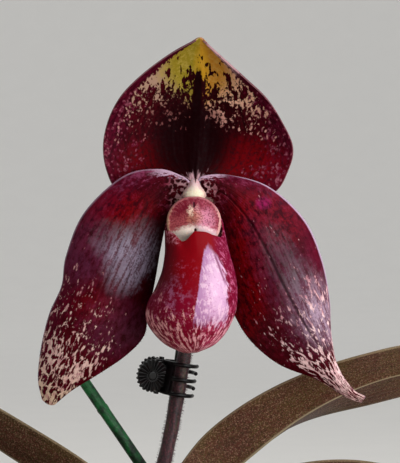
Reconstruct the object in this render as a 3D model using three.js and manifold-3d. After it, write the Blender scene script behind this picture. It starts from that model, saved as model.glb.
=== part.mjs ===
// A potted slipper orchid (Paphiopedilum) in bloom: one flower on a clipped and staked scape, a two-ranked
// fan of strap leaves, crown and roots, bark mix and a clay pot. Millimetres, +Z up, the flower faces -Y,
// and the origin is the centre of the pot's underside.
import * as THREE from "three";
import { mergeVertices } from "three/addons/utils/BufferGeometryUtils.js";
import Module from "manifold-3d";

const wasm = await Module();
wasm.setup();

// ---------- driving dimensions ----------
const POT = { height: 92, rimRadius: 54, rimHeight: 19, baseRadius: 37, wall: 5.2, floor: 7, drainRadius: 4 };
const MIX = { top: 80.4, bottomGap: 0.3, wallGap: 0.35, chips: 40, chipLength: 15, clearing: 15, seed: 11 };
const FLOWER = new THREE.Vector3(10.5, -12, 201); // where sepals, petals, pouch and column meet
const CROWN = { x: -3, y: 0, top: 92.4 };
const PETAL_THICKNESS = 1.1;
const MARGIN_THICKNESS = 0.65;
const LEAF_THICKNESS = 1.6;
const CLEAR = 0.35; // between pieces that touch

// ---------- colours ----------
const finish = (color, roughness) => new THREE.MeshStandardMaterial({ color, roughness, metalness: 0 });
const WINE = finish(0x5a0718, 0.42);
const POUCH_RED = finish(0x8c1230, 0.28);
const SHIELD_ROSE = finish(0xd9a2a0, 0.5);
const STEM_PURPLE = finish(0x3c1a26, 0.6);
const OVARY_GREEN = finish(0x5a3a3a, 0.55);
const LEAF_GREEN = finish(0x4a5a2a, 0.5);
const CROWN_BROWN = finish(0x6a5a30, 0.75);
const BARK = finish(0x6b4226, 0.95);
const CLAY = finish(0xb5653f, 0.9);
const CANE_GREEN = finish(0x1f6a38, 0.55);
const STAKE_DARK = finish(0x1f2a20, 0.6);
const CLIP_BLACK = finish(0x15090c, 0.3);
const STEEL = finish(0x9a9a9a, 0.35);

// ---------- curves ----------
const vector = (p) => new THREE.Vector3(...p);
const curve = (points) => new THREE.CatmullRomCurve3(points.map(vector), false, "catmullrom", 0.5);

// A number that runs smoothly through the given values as t goes from 0 to 1.
function level(values) {
  const along = curve(values.map((value) => [value, 0, 0]));
  return (t) => along.getPoint(t).x;
}

// ---------- solids ----------
function geometryOf(points, faces) {
  const geometry = new THREE.BufferGeometry();
  geometry.setAttribute("position", new THREE.Float32BufferAttribute(points.flatMap((p) => p.toArray()), 3));
  geometry.setIndex(faces);
  geometry.computeVertexNormals();
  return geometry;
}

// A thin closed body round the surface at(s, t), s from -1 to 1 across and t from 0 to 1 along. Both faces
// are split into triangles alike, and thickness(s, t) is measured square to the surface.
function blade(at, thickness, across, along) {
  const step = 1e-3;
  const points = [];
  for (const side of [0.5, -0.5]) {
    for (let j = 0; j <= along; j++) {
      for (let i = 0; i <= across; i++) {
        const s = -1 + (2 * i) / across;
        const t = j / along;
        const acrossWay = at(Math.min(s + step, 1), t).sub(at(Math.max(s - step, -1), t));
        const alongWay = at(s, Math.min(t + step, 1)).sub(at(s, Math.max(t - step, 0)));
        const normal = acrossWay.cross(alongWay).normalize();
        points.push(at(s, t).addScaledVector(normal, side * thickness(s, t)));
      }
    }
  }
  const row = across + 1;
  const back = row * (along + 1);
  const faces = [];
  for (let j = 0; j < along; j++) {
    for (let i = 0; i < across; i++) {
      const a = j * row + i;
      faces.push(a, a + 1, a + row + 1, a, a + row + 1, a + row);
      faces.push(back + a, back + a + row + 1, back + a + 1, back + a, back + a + row, back + a + row + 1);
    }
  }
  const edge = (a, b) => faces.push(b, a, back + a, b, back + a, back + b);
  for (let i = 0; i < across; i++) {
    edge(i, i + 1);
    edge(along * row + i + 1, along * row + i);
  }
  for (let j = 0; j < along; j++) {
    edge((j + 1) * row, j * row);
    edge(j * row + across, (j + 1) * row + across);
  }
  return geometryOf(points, faces);
}

// A closed body of stacked rings: ring(j) gives the points of one ring, and both ends are closed to their
// middles.
function rings(ring, count) {
  const stack = Array.from({ length: count }, (_, j) => ring(j));
  const sides = stack[0].length;
  const points = stack.flat();
  const middle = (list) => list.reduce((sum, p) => sum.add(p), new THREE.Vector3()).divideScalar(list.length);
  const first = points.push(middle(stack[0])) - 1;
  const last = points.push(middle(stack[count - 1])) - 1;
  const faces = [];
  for (let k = 0; k < sides; k++) {
    const next = (k + 1) % sides;
    for (let j = 0; j < count - 1; j++) {
      const a = j * sides + k;
      const b = j * sides + next;
      faces.push(a, b, b + sides, a, b + sides, a + sides);
    }
    faces.push(first, next, k);
    faces.push(last, (count - 1) * sides + k, (count - 1) * sides + next);
  }
  return geometryOf(points, faces);
}

// A stem whose section follows a curve: radius(t, angle) gives its outline.
function limb(path, radius, sides, steps) {
  const frames = path.computeFrenetFrames(steps, false);
  return rings((j) => {
    const t = j / steps;
    const centre = path.getPointAt(t);
    return Array.from({ length: sides }, (_, k) => {
      const angle = (2 * Math.PI * k) / sides;
      const reach = radius(t, angle);
      return centre
        .clone()
        .addScaledVector(frames.normals[j], reach * Math.cos(angle))
        .addScaledVector(frames.binormals[j], reach * Math.sin(angle));
    });
  }, steps + 1);
}

function lathe(profile, segments) {
  return new THREE.LatheGeometry(profile.map((p) => new THREE.Vector2(...p)), segments).rotateX(Math.PI / 2);
}

function solid(geometry) {
  const plain = geometry.clone();
  plain.deleteAttribute("normal");
  plain.deleteAttribute("uv");
  const merged = mergeVertices(plain, 1e-4);
  const made = new wasm.Manifold(
    new wasm.Mesh({
      numProp: 3,
      vertProperties: new Float32Array(merged.attributes.position.array),
      triVerts: new Uint32Array(merged.index.array),
    }),
  );
  if (made.volume() > 0) return made;
  const turned = new Uint32Array(merged.index.array).reverse();
  return new wasm.Manifold(
    new wasm.Mesh({ numProp: 3, vertProperties: new Float32Array(merged.attributes.position.array),
      triVerts: turned }),
  );
}

function geometryFrom(body) {
  const mesh = body.getMesh();
  const geometry = new THREE.BufferGeometry();
  geometry.setAttribute("position", new THREE.BufferAttribute(mesh.vertProperties, 3));
  geometry.setIndex(new THREE.BufferAttribute(mesh.triVerts, 1));
  geometry.computeVertexNormals();
  return geometry;
}

const join = (geometries) => geometries.map(solid).reduce((all, one) => all.add(one));
const box = (width, depth, height, x, y, z) => new THREE.BoxGeometry(width, depth, height).translate(x, y, z);
const drum = (radius, height, sides) =>
  new THREE.CylinderGeometry(radius, radius, height, sides).rotateX(Math.PI / 2);

const part = new THREE.Group();
const bloom = new THREE.Group();
bloom.position.copy(FLOWER);
part.add(bloom);

function place(name, shape, material, group = part) {
  const mesh = new THREE.Mesh(shape.isBufferGeometry ? shape : geometryFrom(shape), material);
  mesh.name = name;
  group.add(mesh);
  return mesh;
}

// The same random numbers at every run.
function randomFrom(seed) {
  let state = seed;
  return () => {
    state = (state * 1664525 + 1013904223) % 4294967296;
    return state / 4294967296;
  };
}

// ---------- tepals ----------
// A tepal is drawn by three lines from its base to its tip, each a list of points: the left margin, the
// middle vein and the right margin, in the flower's own frame. The surface bends smoothly through all
// three.
const petalEdge = (s, t) => {
  const inside = 1 - Math.abs(s) ** 3;
  return MARGIN_THICKNESS + (PETAL_THICKNESS - MARGIN_THICKNESS) * inside * Math.min(1, 6 * (1 - t));
};

function tepal({ left, middle, right, wave = () => 0 }) {
  const [low, centre, high] = [left, middle, right].map(curve);
  return (s, t) => {
    const a = low.getPoint(t);
    const m = centre.getPoint(t);
    const b = high.getPoint(t);
    const point = m
      .clone()
      .addScaledVector(b.clone().sub(a), s / 2)
      .addScaledVector(a.add(b).multiplyScalar(0.5).sub(m), s * s);
    point.y += wave(s, t);
    return point;
  };
}

const DORSAL = {
  left: [
    [-1.9, 4.0, 2.75], [-13.5, 5.4, -1.2], [-22.5, 5.2, 0.2], [-25.9, 4.2, 6], [-26.9, 2.6, 13.5],
    [-25.2, 0.6, 21.3],
    [-21.2, -1.6, 28.3], [-14.3, -3.8, 34.9], [-6.6, -5.8, 40.3], [0.6, -7.4, 44.0],
  ],
  middle: [
    [0.1, 4.0, 2.8], [0.3, 5.4, 6.0], [0.6, 6.8, 10], [0.9, 7.6, 14.5], [1.2, 7.6, 19.5], [1.5, 6.8, 25],
    [1.8, 5.0, 30.5], [2.0, 2.0, 36], [2.1, -2.4, 41.2], [2.1, -7.2, 44.9],
  ],
  right: [
    [2.1, 4.0, 2.75], [14.6, 5.4, -1.8], [24.4, 5.2, -0.4], [28.8, 4.2, 6.6], [29.9, 2.6, 13.2],
    [26.4, 0.6, 20.9],
    [22.0, -1.6, 27.3], [15.0, -3.8, 33.6], [8.7, -5.8, 39.1], [3.3, -7.4, 43.9],
  ],
  wave: (s, t) => {
    const crease = Math.exp(-((s / 0.09) ** 2)) * Math.sin(Math.PI * t) ** 0.5;
    return 0.5 * s ** 4 * Math.sin(19 * t + 2 * s) - 0.8 * crease;
  },
};

const LEFT_PETAL = {
  left: [
    [-0.6, 0.2, 2.0], [-3.6, 0.5, 4.2], [-10.5, 2.1, 6.2], [-21.0, 1.6, 4.0], [-32.5, 0.4, -6.8],
    [-37.8, -0.6, -19.5],
    [-39.1, -0.8, -28.6], [-42.8, -1.0, -37.0], [-45.3, -0.8, -47.0], [-46.3, -0.2, -56.4],
    [-45.2, 0.9, -62.8],
  ],
  middle: [
    [-0.6, 0.2, 0.6], [-3.6, -0.3, 0.7], [-9.5, -1.4, -1.2], [-17, -3.4, -8.6], [-22.6, -5.4, -18],
    [-26.7, -6.4, -28.5],
    [-29.6, -6.6, -36], [-33.0, -6.2, -43.6], [-36.8, -4.6, -51.2], [-40.6, -2.4, -58.4], [-43.3, 0.6, -64.2],
  ],
  right: [
    [-0.6, 0.2, -1.0], [-3.4, 0.5, -3.2], [-7.6, 1.9, -8.0], [-9.8, 2.2, -16.5], [-11.6, 2.0, -27],
    [-13.6, 1.2, -37.0],
    [-15.0, 0.4, -43.8], [-20.2, -0.2, -49.4], [-28.0, -0.4, -54.7], [-36.3, 0.0, -59.8], [-41.7, 1.1, -64.2],
  ],
  wave: (s, t) => 0.8 * s ** 4 * Math.sin(17 * t + 1.5 + s) * Math.sin(Math.PI * t),
};

const RIGHT_PETAL = {
  left: [
    [0.6, 0.2, -1.0], [3.4, 0.5, -3.2], [6, 1.9, -8.4], [7.6, 2.4, -18], [9, 2.4, -28], [12.6, 1.4, -37.4],
    [17.6, 0.2, -45.2], [26.0, -0.8, -52.1], [37.4, -1.6, -56.6], [45.4, -1.4, -61.5], [50.4, 0.2, -63.6],
  ],
  middle: [
    [0.6, 0.2, 0.6], [3.6, -0.3, 0.6], [9.8, -1.4, -1.6], [17, -3.4, -9.6], [22.4, -5.4, -19.6],
    [27.2, -6.4, -29.6],
    [32.4, -6.4, -39], [37.6, -5.4, -47.4], [42.0, -4.0, -54.4], [46.6, -2.4, -60.5], [50.9, -0.2, -62.8],
  ],
  right: [
    [0.6, 0.2, 2.0], [3.6, 0.5, 4.2], [11.2, 2.1, 4.3], [22.6, 1.6, 0.9], [33.0, 0.4, -8.6], [38.2, -0.4, -20],
    [40.7, -0.6, -32.8], [41.0, -1.0, -43.6], [42.4, -1.8, -51.9], [47.4, -1.5, -59.4], [51.5, 0.2, -62.0],
  ],
  wave: (s, t) => 0.7 * s ** 4 * Math.sin(15 * t + 0.4 - s) * Math.sin(Math.PI * t),
};

const LOWER_SEPAL = {
  left: [[-2.6, 4.3, -5.5], [-6.2, 5.4, -12], [-7.6, 6.2, -20], [-7.6, 6.0, -29], [-5.6, 5.0, -37],
    [-1.8, 3.8, -43.2]],
  middle: [[0, 4.3, -5.5], [-0.1, 6.6, -12], [-0.3, 8.0, -20], [-0.6, 8.0, -29.5], [-0.9, 6.6, -38],
    [-1.0, 4.2, -44]],
  right: [[2.6, 4.3, -5.5], [6.0, 5.4, -12], [7.2, 6.2, -20], [6.8, 6.0, -29], [4.4, 5.0, -37],
    [-0.2, 3.8, -43.2]],
};

place("dorsal_sepal", blade(tepal(DORSAL), petalEdge, 10, 12), WINE, bloom);
place("petal_left", blade(tepal(LEFT_PETAL), petalEdge, 8, 16), WINE, bloom);
place("petal_right", blade(tepal(RIGHT_PETAL), petalEdge, 8, 16), WINE, bloom);
place("lower_sepal", blade(tepal(LOWER_SEPAL), petalEdge, 6, 8), WINE, bloom);

// ---------- pouch ----------
// The slipper-shaped lip: a hollow, egg-shaped sack hung from its back edge. Going down, each value belongs
// to the next station from the mouth to the toe.
const SACK = {
  height: level([-14.2, -18.6, -23.8, -29, -33.6, -38, -42.4, -46, -48.4]),
  middleX: level([0.5, 1.2, 1.6, 1.0, -0.2, -1.0, -1.0, -0.8, -0.9]),
  halfWidth: level([8.9, 9.5, 10.7, 12.1, 13.2, 12.9, 10.6, 6.9, 1.6]),
  middleY: level([-7.2, -8.4, -9.8, -10.6, -10.8, -10.6, -9.9, -9.3, -9.0]),
  halfDepth: level([6.4, 8.0, 10.4, 12.4, 13.4, 12.8, 10.2, 6.2, 1.6]),
  wall: 0.9,
};
// The mouth's edge rises behind, where the sack hangs: its lift over the first station, from the front
// round to the back.
const mouthLift = level([1.5, 1.2, 0.2, -0.2, 1.6, 5.4, 8.6, 10.2, 10.6, 10.2, 8.6, 5.4, 2.2, 1.6, 0.6,
  -1.5, 1.5]);

function pouchPoint(around, down, inset) {
  const angle = 2 * Math.PI * around;
  const side = Math.sin(angle);
  const front = Math.cos(angle);
  const rise = Math.max(0, 1 - down * 5);
  const lift = mouthLift(around) * rise ** 1.5;
  const lean = Math.max(0, lift) * 0.19;
  return new THREE.Vector3(
    SACK.middleX(down) + side * (SACK.halfWidth(down) - inset) * (1 - 0.35 * rise * Math.max(0, -front) ** 3),
    SACK.middleY(down) - front * (SACK.halfDepth(down) - inset) + lean,
    SACK.height(down) + lift + inset * down,
  );
}

function pouch(aroundCount, downCount) {
  const points = [];
  for (const inset of [0, SACK.wall]) {
    for (let j = 0; j < downCount; j++) {
      for (let k = 0; k < aroundCount; k++) points.push(pouchPoint(k / aroundCount, j / downCount, inset));
    }
  }
  const toe = points.push(pouchPoint(0, 1, 0).setX(SACK.middleX(1)).setY(SACK.middleY(1))) - 1;
  const inside = points.push(pouchPoint(0, 1, SACK.wall).setX(SACK.middleX(1)).setY(SACK.middleY(1))) - 1;
  const layer = downCount * aroundCount;
  const faces = [];
  for (let k = 0; k < aroundCount; k++) {
    const next = (k + 1) % aroundCount;
    for (let j = 0; j < downCount - 1; j++) {
      const a = j * aroundCount + k;
      const b = j * aroundCount + next;
      faces.push(a, a + aroundCount, b + aroundCount, a, b + aroundCount, b);
      faces.push(layer + a, layer + b + aroundCount, layer + a + aroundCount, layer + a, layer + b,
        layer + b + aroundCount);
    }
    const low = (downCount - 1) * aroundCount;
    faces.push(low + k, toe, low + next);
    faces.push(layer + low + k, layer + low + next, inside);
    faces.push(k, next, layer + next, k, layer + next, layer + k);
  }
  return geometryOf(points, faces);
}

place("pouch", solid(pouch(24, 12)), POUCH_RED, bloom);

// ---------- column and shield ----------
// The shield (staminode) hangs in front of the pouch's mouth from the short white column: a domed disc with
// a notch between two lower lobes.
const SHIELD = { centre: new THREE.Vector3(0.3, -9.4, -9.3), halfWidth: 7.75, up: 7.1, down: 7.3, dome: 1.5,
  depth: 1.04 };
const SHIELD_FRONT = 1; // share of the dome that each face has
const SHIELD_BACK = 0.3;

function shieldPoint(reach, angle, face) {
  const side = Math.sin(angle);
  const high = Math.cos(angle);
  const notch = 0.46 * Math.exp(-(((Math.PI - Math.abs(angle)) / 0.36) ** 2));
  const squareness = high > 0 ? 1 : 1 + 0.06 * Math.sin(2 * angle) ** 2;
  const out = reach * squareness * (1 - notch * reach);
  const height = high > 0 ? SHIELD.up : SHIELD.down;
  const dome = SHIELD.dome * (1 - reach * reach);
  return new THREE.Vector3(
    SHIELD.centre.x + side * SHIELD.halfWidth * out,
    SHIELD.centre.y - dome * face + (face === SHIELD_BACK ? SHIELD.depth : 0),
    SHIELD.centre.z + high * height * out,
  );
}

function shield(aroundCount, ringCount) {
  const points = [];
  const middles = [];
  for (const face of [SHIELD_FRONT, SHIELD_BACK]) {
    for (let j = 1; j <= ringCount; j++) {
      for (let k = 0; k < aroundCount; k++) {
        points.push(shieldPoint(j / ringCount, -Math.PI + (2 * Math.PI * k) / aroundCount, face));
      }
    }
  }
  for (const face of [SHIELD_FRONT, SHIELD_BACK]) middles.push(points.push(shieldPoint(0, 0, face)) - 1);
  const layer = ringCount * aroundCount;
  const faces = [];
  for (let k = 0; k < aroundCount; k++) {
    const next = (k + 1) % aroundCount;
    faces.push(middles[0], next, k, middles[1], layer + k, layer + next);
    for (let j = 0; j < ringCount - 1; j++) {
      const a = j * aroundCount + k;
      const b = j * aroundCount + next;
      faces.push(a, b, b + aroundCount, a, b + aroundCount, a + aroundCount);
      faces.push(layer + a, layer + b + aroundCount, layer + b, layer + a, layer + a + aroundCount,
        layer + b + aroundCount);
    }
    const rim = (ringCount - 1) * aroundCount;
    faces.push(rim + k, rim + next, layer + rim + next, rim + k, layer + rim + next, layer + rim + k);
  }
  return geometryOf(points, faces);
}

const COLUMN_PATH = curve([[0.4, -1.5, -0.3], [0.4, -4.0, 0.2], [0.4, -5.8, -0.6], [0.4, -6.7, -3.0],
  [0.4, -7.8, -6.5]]);
const columnRadius = level([2.6, 3.1, 3.0, 2.0, 1.0]);
const column = solid(limb(COLUMN_PATH, (t) => columnRadius(t), 12, 6));
place("column_and_shield", column.add(solid(shield(20, 3))), SHIELD_ROSE, bloom);

// ---------- ovary, bract and scape ----------
const OVARY_PATH = curve([
  [0, 1.8, -0.8], [0, 5.4, -1.6], [-0.1, 9.6, -4.4], [-0.6, 12.8, -11], [-1.1, 14.6, -20],
  [-1.6, 15.1, -30], [-2.0, 15.0, -39.6],
]);
const ovaryRadius = level([2.6, 3.1, 2.9, 2.9, 3.1, 2.8, 2.2]);
const ribbed = (t, angle) => ovaryRadius(t) * (1 + 0.07 * Math.cos(3 * angle + 2 * t));
place("ovary", limb(OVARY_PATH, ribbed, 12, 10), OVARY_GREEN, bloom);

const BRACT = {
  foot: [-2.1, 15.0, -43.5],
  length: 21,
  radius: level([3.0, 3.7, 4.0, 4.05, 3.95]),
  reach: level([2.6, 2.5, 2.2, 1.6, 0.25]), // half the angle that it wraps, in radians
};
function bractPoint(s, t) {
  const angle = s * BRACT.reach(t);
  const radius = BRACT.radius(t);
  return new THREE.Vector3(
    BRACT.foot[0] + 0.9 * t + radius * Math.sin(angle),
    BRACT.foot[1] + 0.9 * t * t + radius * Math.cos(angle) + 0.5 * t,
    BRACT.foot[2] + BRACT.length * t,
  );
}
place("bract", blade(bractPoint, () => 0.7, 8, 5), OVARY_GREEN, bloom);

const SCAPE_PATH = curve([
  [CROWN.x, CROWN.y, CROWN.top + 0.55], [-1.6, 0.6, 105], [1.9, 1.6, 119.1], [4.2, 2.2, 130],
  [6.4, 2.7, 142], [8.0, 2.95, 152],
  [8.48, 3.0, 161],
]);
place("scape", limb(SCAPE_PATH, (t) => 2.25 - 0.2 * t, 10, 10), STEM_PURPLE);

// ---------- leaves ----------
// Each leaf follows its keel. fold is the half blade's slope over the flat, and arch says how much of it is
// a round channel rather than a crease: leaves are channels where they clasp the crown, and open out
// further along.
const ARCH = level([0.2, 0.2, 0.2, 0.2, 0.15, 0.15, 0.2, 0.3]);
const CROSS_STEPS = 6;
const LEAVES = {
  leaf_right_high: {
    keel: [[2.1, 0, 81.35], [4.0, 0, 92.6], [9.0, 0.2, 102.4], [16.4, 0.5, 110.4], [25.4, 1, 118.2],
      [43.6, 2, 132.4],
      [63.4, 3, 142.3], [82, 4.5, 146.2], [102, 6, 143.4], [119, 7, 134.4], [129, 8, 124]],
    half: [4.6, 7.4, 10.2, 12.2, 13.6, 13.8, 13.7, 12.6, 10.4, 6.4, 0.9],
    fold: [50, 56, 54, 50, 43, 21, 2, 0, 4, 7, 8], roll: [0, 4, 16, 30, 41, 37, 39, 40, 30, 18, 10],
  },
  leaf_left_high: {
    keel: [[-8.1, 0, 81.35], [-10.2, 0, 92.0], [-16.4, 0.3, 101], [-27, 0.8, 109], [-43, 1.6, 119.0],
      [-62, 2.6, 130.6],
      [-82, 4, 138], [-102, 5.5, 138], [-119, 7, 130.4], [-129, 8, 121]],
    half: [4.6, 7.6, 10.6, 12.6, 13.4, 13.6, 13.2, 11.8, 8, 0.9],
    fold: [50, 56, 50, 38, 28, 18, 8, 4, 6, 8], roll: [0, 4, 10, 20, 27, 29, 28, 22, 14, 8],
  },
  leaf_right_middle: {
    keel: [[5.4, -0.1, 81.45], [8.8, -0.4, 88.6], [15.8, -1.2, 95.6], [27.5, -2.4, 102.8],
      [44, -4.2, 108.6], [62, -6, 110.6],
      [81, -8, 107.6], [99, -10, 99.8], [112, -11, 89]],
    half: [7, 9, 11, 13, 13.8, 13.6, 12.4, 8.8, 0.9],
    fold: [50, 52, 48, 42, 36, 28, 20, 12, 8], roll: [0, 2, 6, 10, 14, 16, 14, 8, 4],
  },
  leaf_left_middle: {
    keel: [[-11.4, -0.1, 81.45], [-15.0, -0.4, 88.2], [-22, -1.4, 94], [-34, -2.4, 100], [-51, -3.8, 103.6],
      [-70, -5.4, 102],
      [-87, -7, 95], [-99, -8.4, 85.4]],
    half: [7, 9.2, 11.2, 13, 13.6, 12.6, 9, 0.9],
    fold: [50, 52, 48, 40, 30, 20, 12, 8], roll: [0, 2, 6, 10, 12, 12, 8, 4],
  },
  leaf_right_low: {
    keel: [[8.8, 0.2, 81.6], [12.6, 0.8, 85.4], [20, 2, 89.8], [32, 4, 93.6], [47, 6.4, 95.8],
      [63, 9, 93.4], [78, 11.4, 86],
      [89, 13, 76.6]],
    half: [8.6, 10, 11.4, 12.6, 12.8, 11.8, 8.2, 0.9],
    fold: [46, 46, 42, 36, 28, 20, 12, 8], roll: [0, -2, -4, -6, -8, -8, -6, -4],
  },
  leaf_left_low: {
    keel: [[-14.8, 0.2, 81.6], [-18.6, 0.8, 85.2], [-26, 2, 89.2], [-38, 4.2, 92.8], [-53, 7, 94],
      [-68, 10, 90], [-82, 12.6, 81.6],
      [-91, 14, 72.6]],
    half: [8.6, 10, 11.4, 12.4, 12.6, 11.4, 7.8, 0.9],
    fold: [46, 46, 42, 36, 28, 20, 12, 8], roll: [0, -2, -4, -6, -8, -8, -6, -4],
  },
};

function leafSurface({ keel, half, fold, roll }) {
  const path = curve(keel);
  const [halfWidth, foldAngle, rollAngle] = [half, fold, roll].map(level);
  return (s, t) => {
    const tangent = path.getTangent(t);
    const across = new THREE.Vector3(0, 1, 0).cross(tangent).normalize(); // up and away from the tangent
    const inward = across.clone().multiplyScalar(Math.sign(across.z) || 1);
    const side = new THREE.Vector3().crossVectors(inward, tangent).normalize();
    if (side.y < 0) side.negate();
    const turn = THREE.MathUtils.degToRad(rollAngle(t));
    const upper = inward.clone().multiplyScalar(Math.cos(turn)).addScaledVector(side, Math.sin(turn));
    const flank = side.clone().multiplyScalar(Math.cos(turn)).addScaledVector(inward, -Math.sin(turn));
    const slope = THREE.MathUtils.degToRad(foldAngle(t));
    const arch = ARCH(t);
    const point = path.getPoint(t);
    const length = halfWidth(t) * Math.abs(s);
    for (let k = 0; k < CROSS_STEPS; k++) {
      const here = ((k + 0.5) / CROSS_STEPS) * Math.abs(s);
      const angle = slope * (1 - arch + arch * 2 * here);
      point.addScaledVector(flank, (Math.sign(s) * Math.cos(angle) * length) / CROSS_STEPS);
      point.addScaledVector(upper, (Math.sin(angle) * length) / CROSS_STEPS);
    }
    return point;
  };
}

const leafEdge = (s, t) => {
  const centre = 1 - Math.abs(s) ** 1.5;
  return 0.7 + (LEAF_THICKNESS - 0.7) * centre * Math.min(1, 4 * (1 - t)) * Math.min(1, 0.55 + 3 * t);
};
for (const [name, leaf] of Object.entries(LEAVES)) {
  place(name, blade(leafSurface(leaf), leafEdge, 6, 14), LEAF_GREEN);
}

// ---------- crown and roots ----------
const CROWN_PROFILE = [[0, CROWN.top], [2.2, CROWN.top], [2.4, 81.2], [3.6, 79.4], [3.8, 75], [2.6, 68],
  [0, 65]];
const ROOTS = [
  { turn: 35, reach: 20, drop: 50, radius: 1.5 },
  { turn: 142, reach: 24, drop: 42, radius: 1.7 },
  { turn: 205, reach: 21, drop: 46, radius: 1.6 },
  { turn: 262, reach: 26, drop: 38, radius: 1.8 },
  { turn: 322, reach: 23, drop: 54, radius: 1.5 },
];
const ROOT_TOP = 77.5;
function root({ turn, reach, drop, radius }, extra = 0) {
  const angle = THREE.MathUtils.degToRad(turn);
  const out = (distance, height) => [CROWN.x + distance * Math.cos(angle),
    CROWN.y + distance * Math.sin(angle), height];
  const path = curve([
    out(1, ROOT_TOP), out(reach * 0.35, ROOT_TOP + 1.4), out(reach * 0.7, ROOT_TOP - 4),
    out(reach, ROOT_TOP - drop / 2),
    out(reach * 1.05, ROOT_TOP - drop - extra),
  ]);
  return limb(path, () => radius + extra, 7, 7);
}
function crownBody(extra = 0) {
  const last = CROWN_PROFILE.length - 1;
  const grown = (z, k) => z + (k === 0 ? extra : 0) - (k === last ? extra : 0);
  const profile = CROWN_PROFILE.map(([r, z], k) => [r && r + extra, grown(z, k)]);
  return lathe(profile.reverse(), 16).translate(CROWN.x, CROWN.y, 0);
}
place("crown_and_roots", join([crownBody(), ...ROOTS.map((r) => root(r))]), CROWN_BROWN);

// ---------- stakes ----------
function rod(from, to, radius, sides) {
  const [start, end] = [vector(from), vector(to)];
  const geometry = new THREE.CylinderGeometry(radius, radius, start.distanceTo(end), sides);
  const way = end.clone().sub(start).normalize();
  const turn = new THREE.Quaternion().setFromUnitVectors(new THREE.Vector3(0, 1, 0), way);
  return geometry.applyQuaternion(turn).translate(...start.add(end).multiplyScalar(0.5).toArray());
}
const CANE = { foot: [30.2, 17, 62], tip: [-27.6, 8.6, 148], radius: 1.75 };
const STAKE = { foot: [-9.2, 8.2, 38], tip: [6.35, 6.35, 152.5], radius: 1.2 };
place("green_cane", rod(CANE.foot, CANE.tip, CANE.radius, 10), CANE_GREEN);
place("flower_stake", rod(STAKE.foot, STAKE.tip, STAKE.radius, 8), STAKE_DARK);

// ---------- claw clip ----------
// Modelled round the axis of the bundle that it holds: +Z along the scape, +X towards the finger tips, -X
// towards the thumb tabs. The front jaw turns on the back jaw's pin.
const CLIP = {
  place: [6.1, 4.1, 143.2], lean: 9.5, inner: 4.3, finger: 0.62, height: 10.4, pitch: 4.6,
  bandStart: 20, bandEnd: 62, fingerStart: 58, // degrees round from the pin's side
  pin: -6.3, pinRadius: 0.8, pinClear: 0.3, pinLength: 11.6, knuckle: 1.75,
  tabOut: -8.6, tabApart: 4.6, tabRadius: 5.2, tabThickness: 1.1, tabSplay: 29, teeth: 22, toothDepth: 0.45,
};
// Each jaw has its side of the bundle, the height of its fingers, where they end, and its knuckles on the
// pin.
const FRONT_JAW = { side: -1, fingers: [-CLIP.pitch, 0, CLIP.pitch], fingerEnd: 372, knuckles: [-4.3, 4.3],
  knuckleHeight: 1.6 };
const BACK_JAW = { side: 1, fingers: [-CLIP.pitch / 2, CLIP.pitch / 2], fingerEnd: -14,
  knuckles: [-2.5, 2.5], knuckleHeight: 1.4 };
const RING = CLIP.inner + CLIP.finger; // middle line of the fingers
const degrees = THREE.MathUtils.degToRad;
const onRing = (angle, z) => [RING * Math.cos(degrees(angle)), RING * Math.sin(degrees(angle)), z];

function finger(fromAngle, toAngle, z) {
  const section = new THREE.Shape().absarc(0, 0, CLIP.finger, 0, 2 * Math.PI);
  const stops = 8;
  const angleAt = (k) => fromAngle + ((toAngle - fromAngle) * k) / stops;
  const route = curve(Array.from({ length: stops + 1 }, (_, k) => onRing(angleAt(k), z)));
  const settings = { steps: stops, curveSegments: 3, bevelEnabled: false, extrudePath: route };
  return new THREE.ExtrudeGeometry(section, settings);
}

function band(fromAngle, toAngle, height) {
  const [inner, outer] = [CLIP.inner, CLIP.inner + 2 * CLIP.finger];
  const shape = new THREE.Shape();
  shape.absarc(0, 0, outer, degrees(fromAngle), degrees(toAngle), false);
  shape.absarc(0, 0, inner, degrees(toAngle), degrees(fromAngle), true);
  const settings = { depth: height, curveSegments: 4, bevelEnabled: false };
  return new THREE.ExtrudeGeometry(shape, settings).translate(0, 0, -height / 2);
}

function thumbTab(side) {
  const shape = new THREE.Shape();
  for (let k = 0; k < 2 * CLIP.teeth; k++) {
    const radius = CLIP.tabRadius - (k % 2 ? CLIP.toothDepth : 0);
    const angle = (Math.PI * k) / CLIP.teeth;
    const point = [radius * Math.cos(angle), radius * Math.sin(angle)];
    if (k) shape.lineTo(...point);
    else shape.moveTo(...point);
  }
  const disc = new THREE.ExtrudeGeometry(shape, { depth: CLIP.tabThickness, bevelEnabled: false });
  disc.rotateX(Math.PI / 2).translate(0, side > 0 ? CLIP.tabThickness : 0, 0);
  disc.rotateZ(degrees(-side * CLIP.tabSplay));
  return disc.translate(CLIP.tabOut, side * CLIP.tabApart, 0);
}

function jaw({ side, fingers, fingerEnd, knuckles, knuckleHeight }) {
  const start = 180 - side * CLIP.bandStart;
  const bandEnd = 180 - side * CLIP.bandEnd;
  const pieces = [
    side > 0 ? band(bandEnd, start, CLIP.height) : band(start, bandEnd, CLIP.height),
    ...fingers.map((z) => finger(180 - side * CLIP.fingerStart, fingerEnd, z)),
    thumbTab(side),
  ];
  for (const z of knuckles) {
    pieces.push(drum(CLIP.knuckle, knuckleHeight, 14).translate(CLIP.pin, 0, z));
    pieces.push(box(1.5, 2.6, knuckleHeight, CLIP.pin - 0.3, side * 2.3, z));
    pieces.push(box(2.2, 1.3, knuckleHeight, CLIP.pin + 1.2, side * 1.35, z));
  }
  return join(pieces);
}

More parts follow.
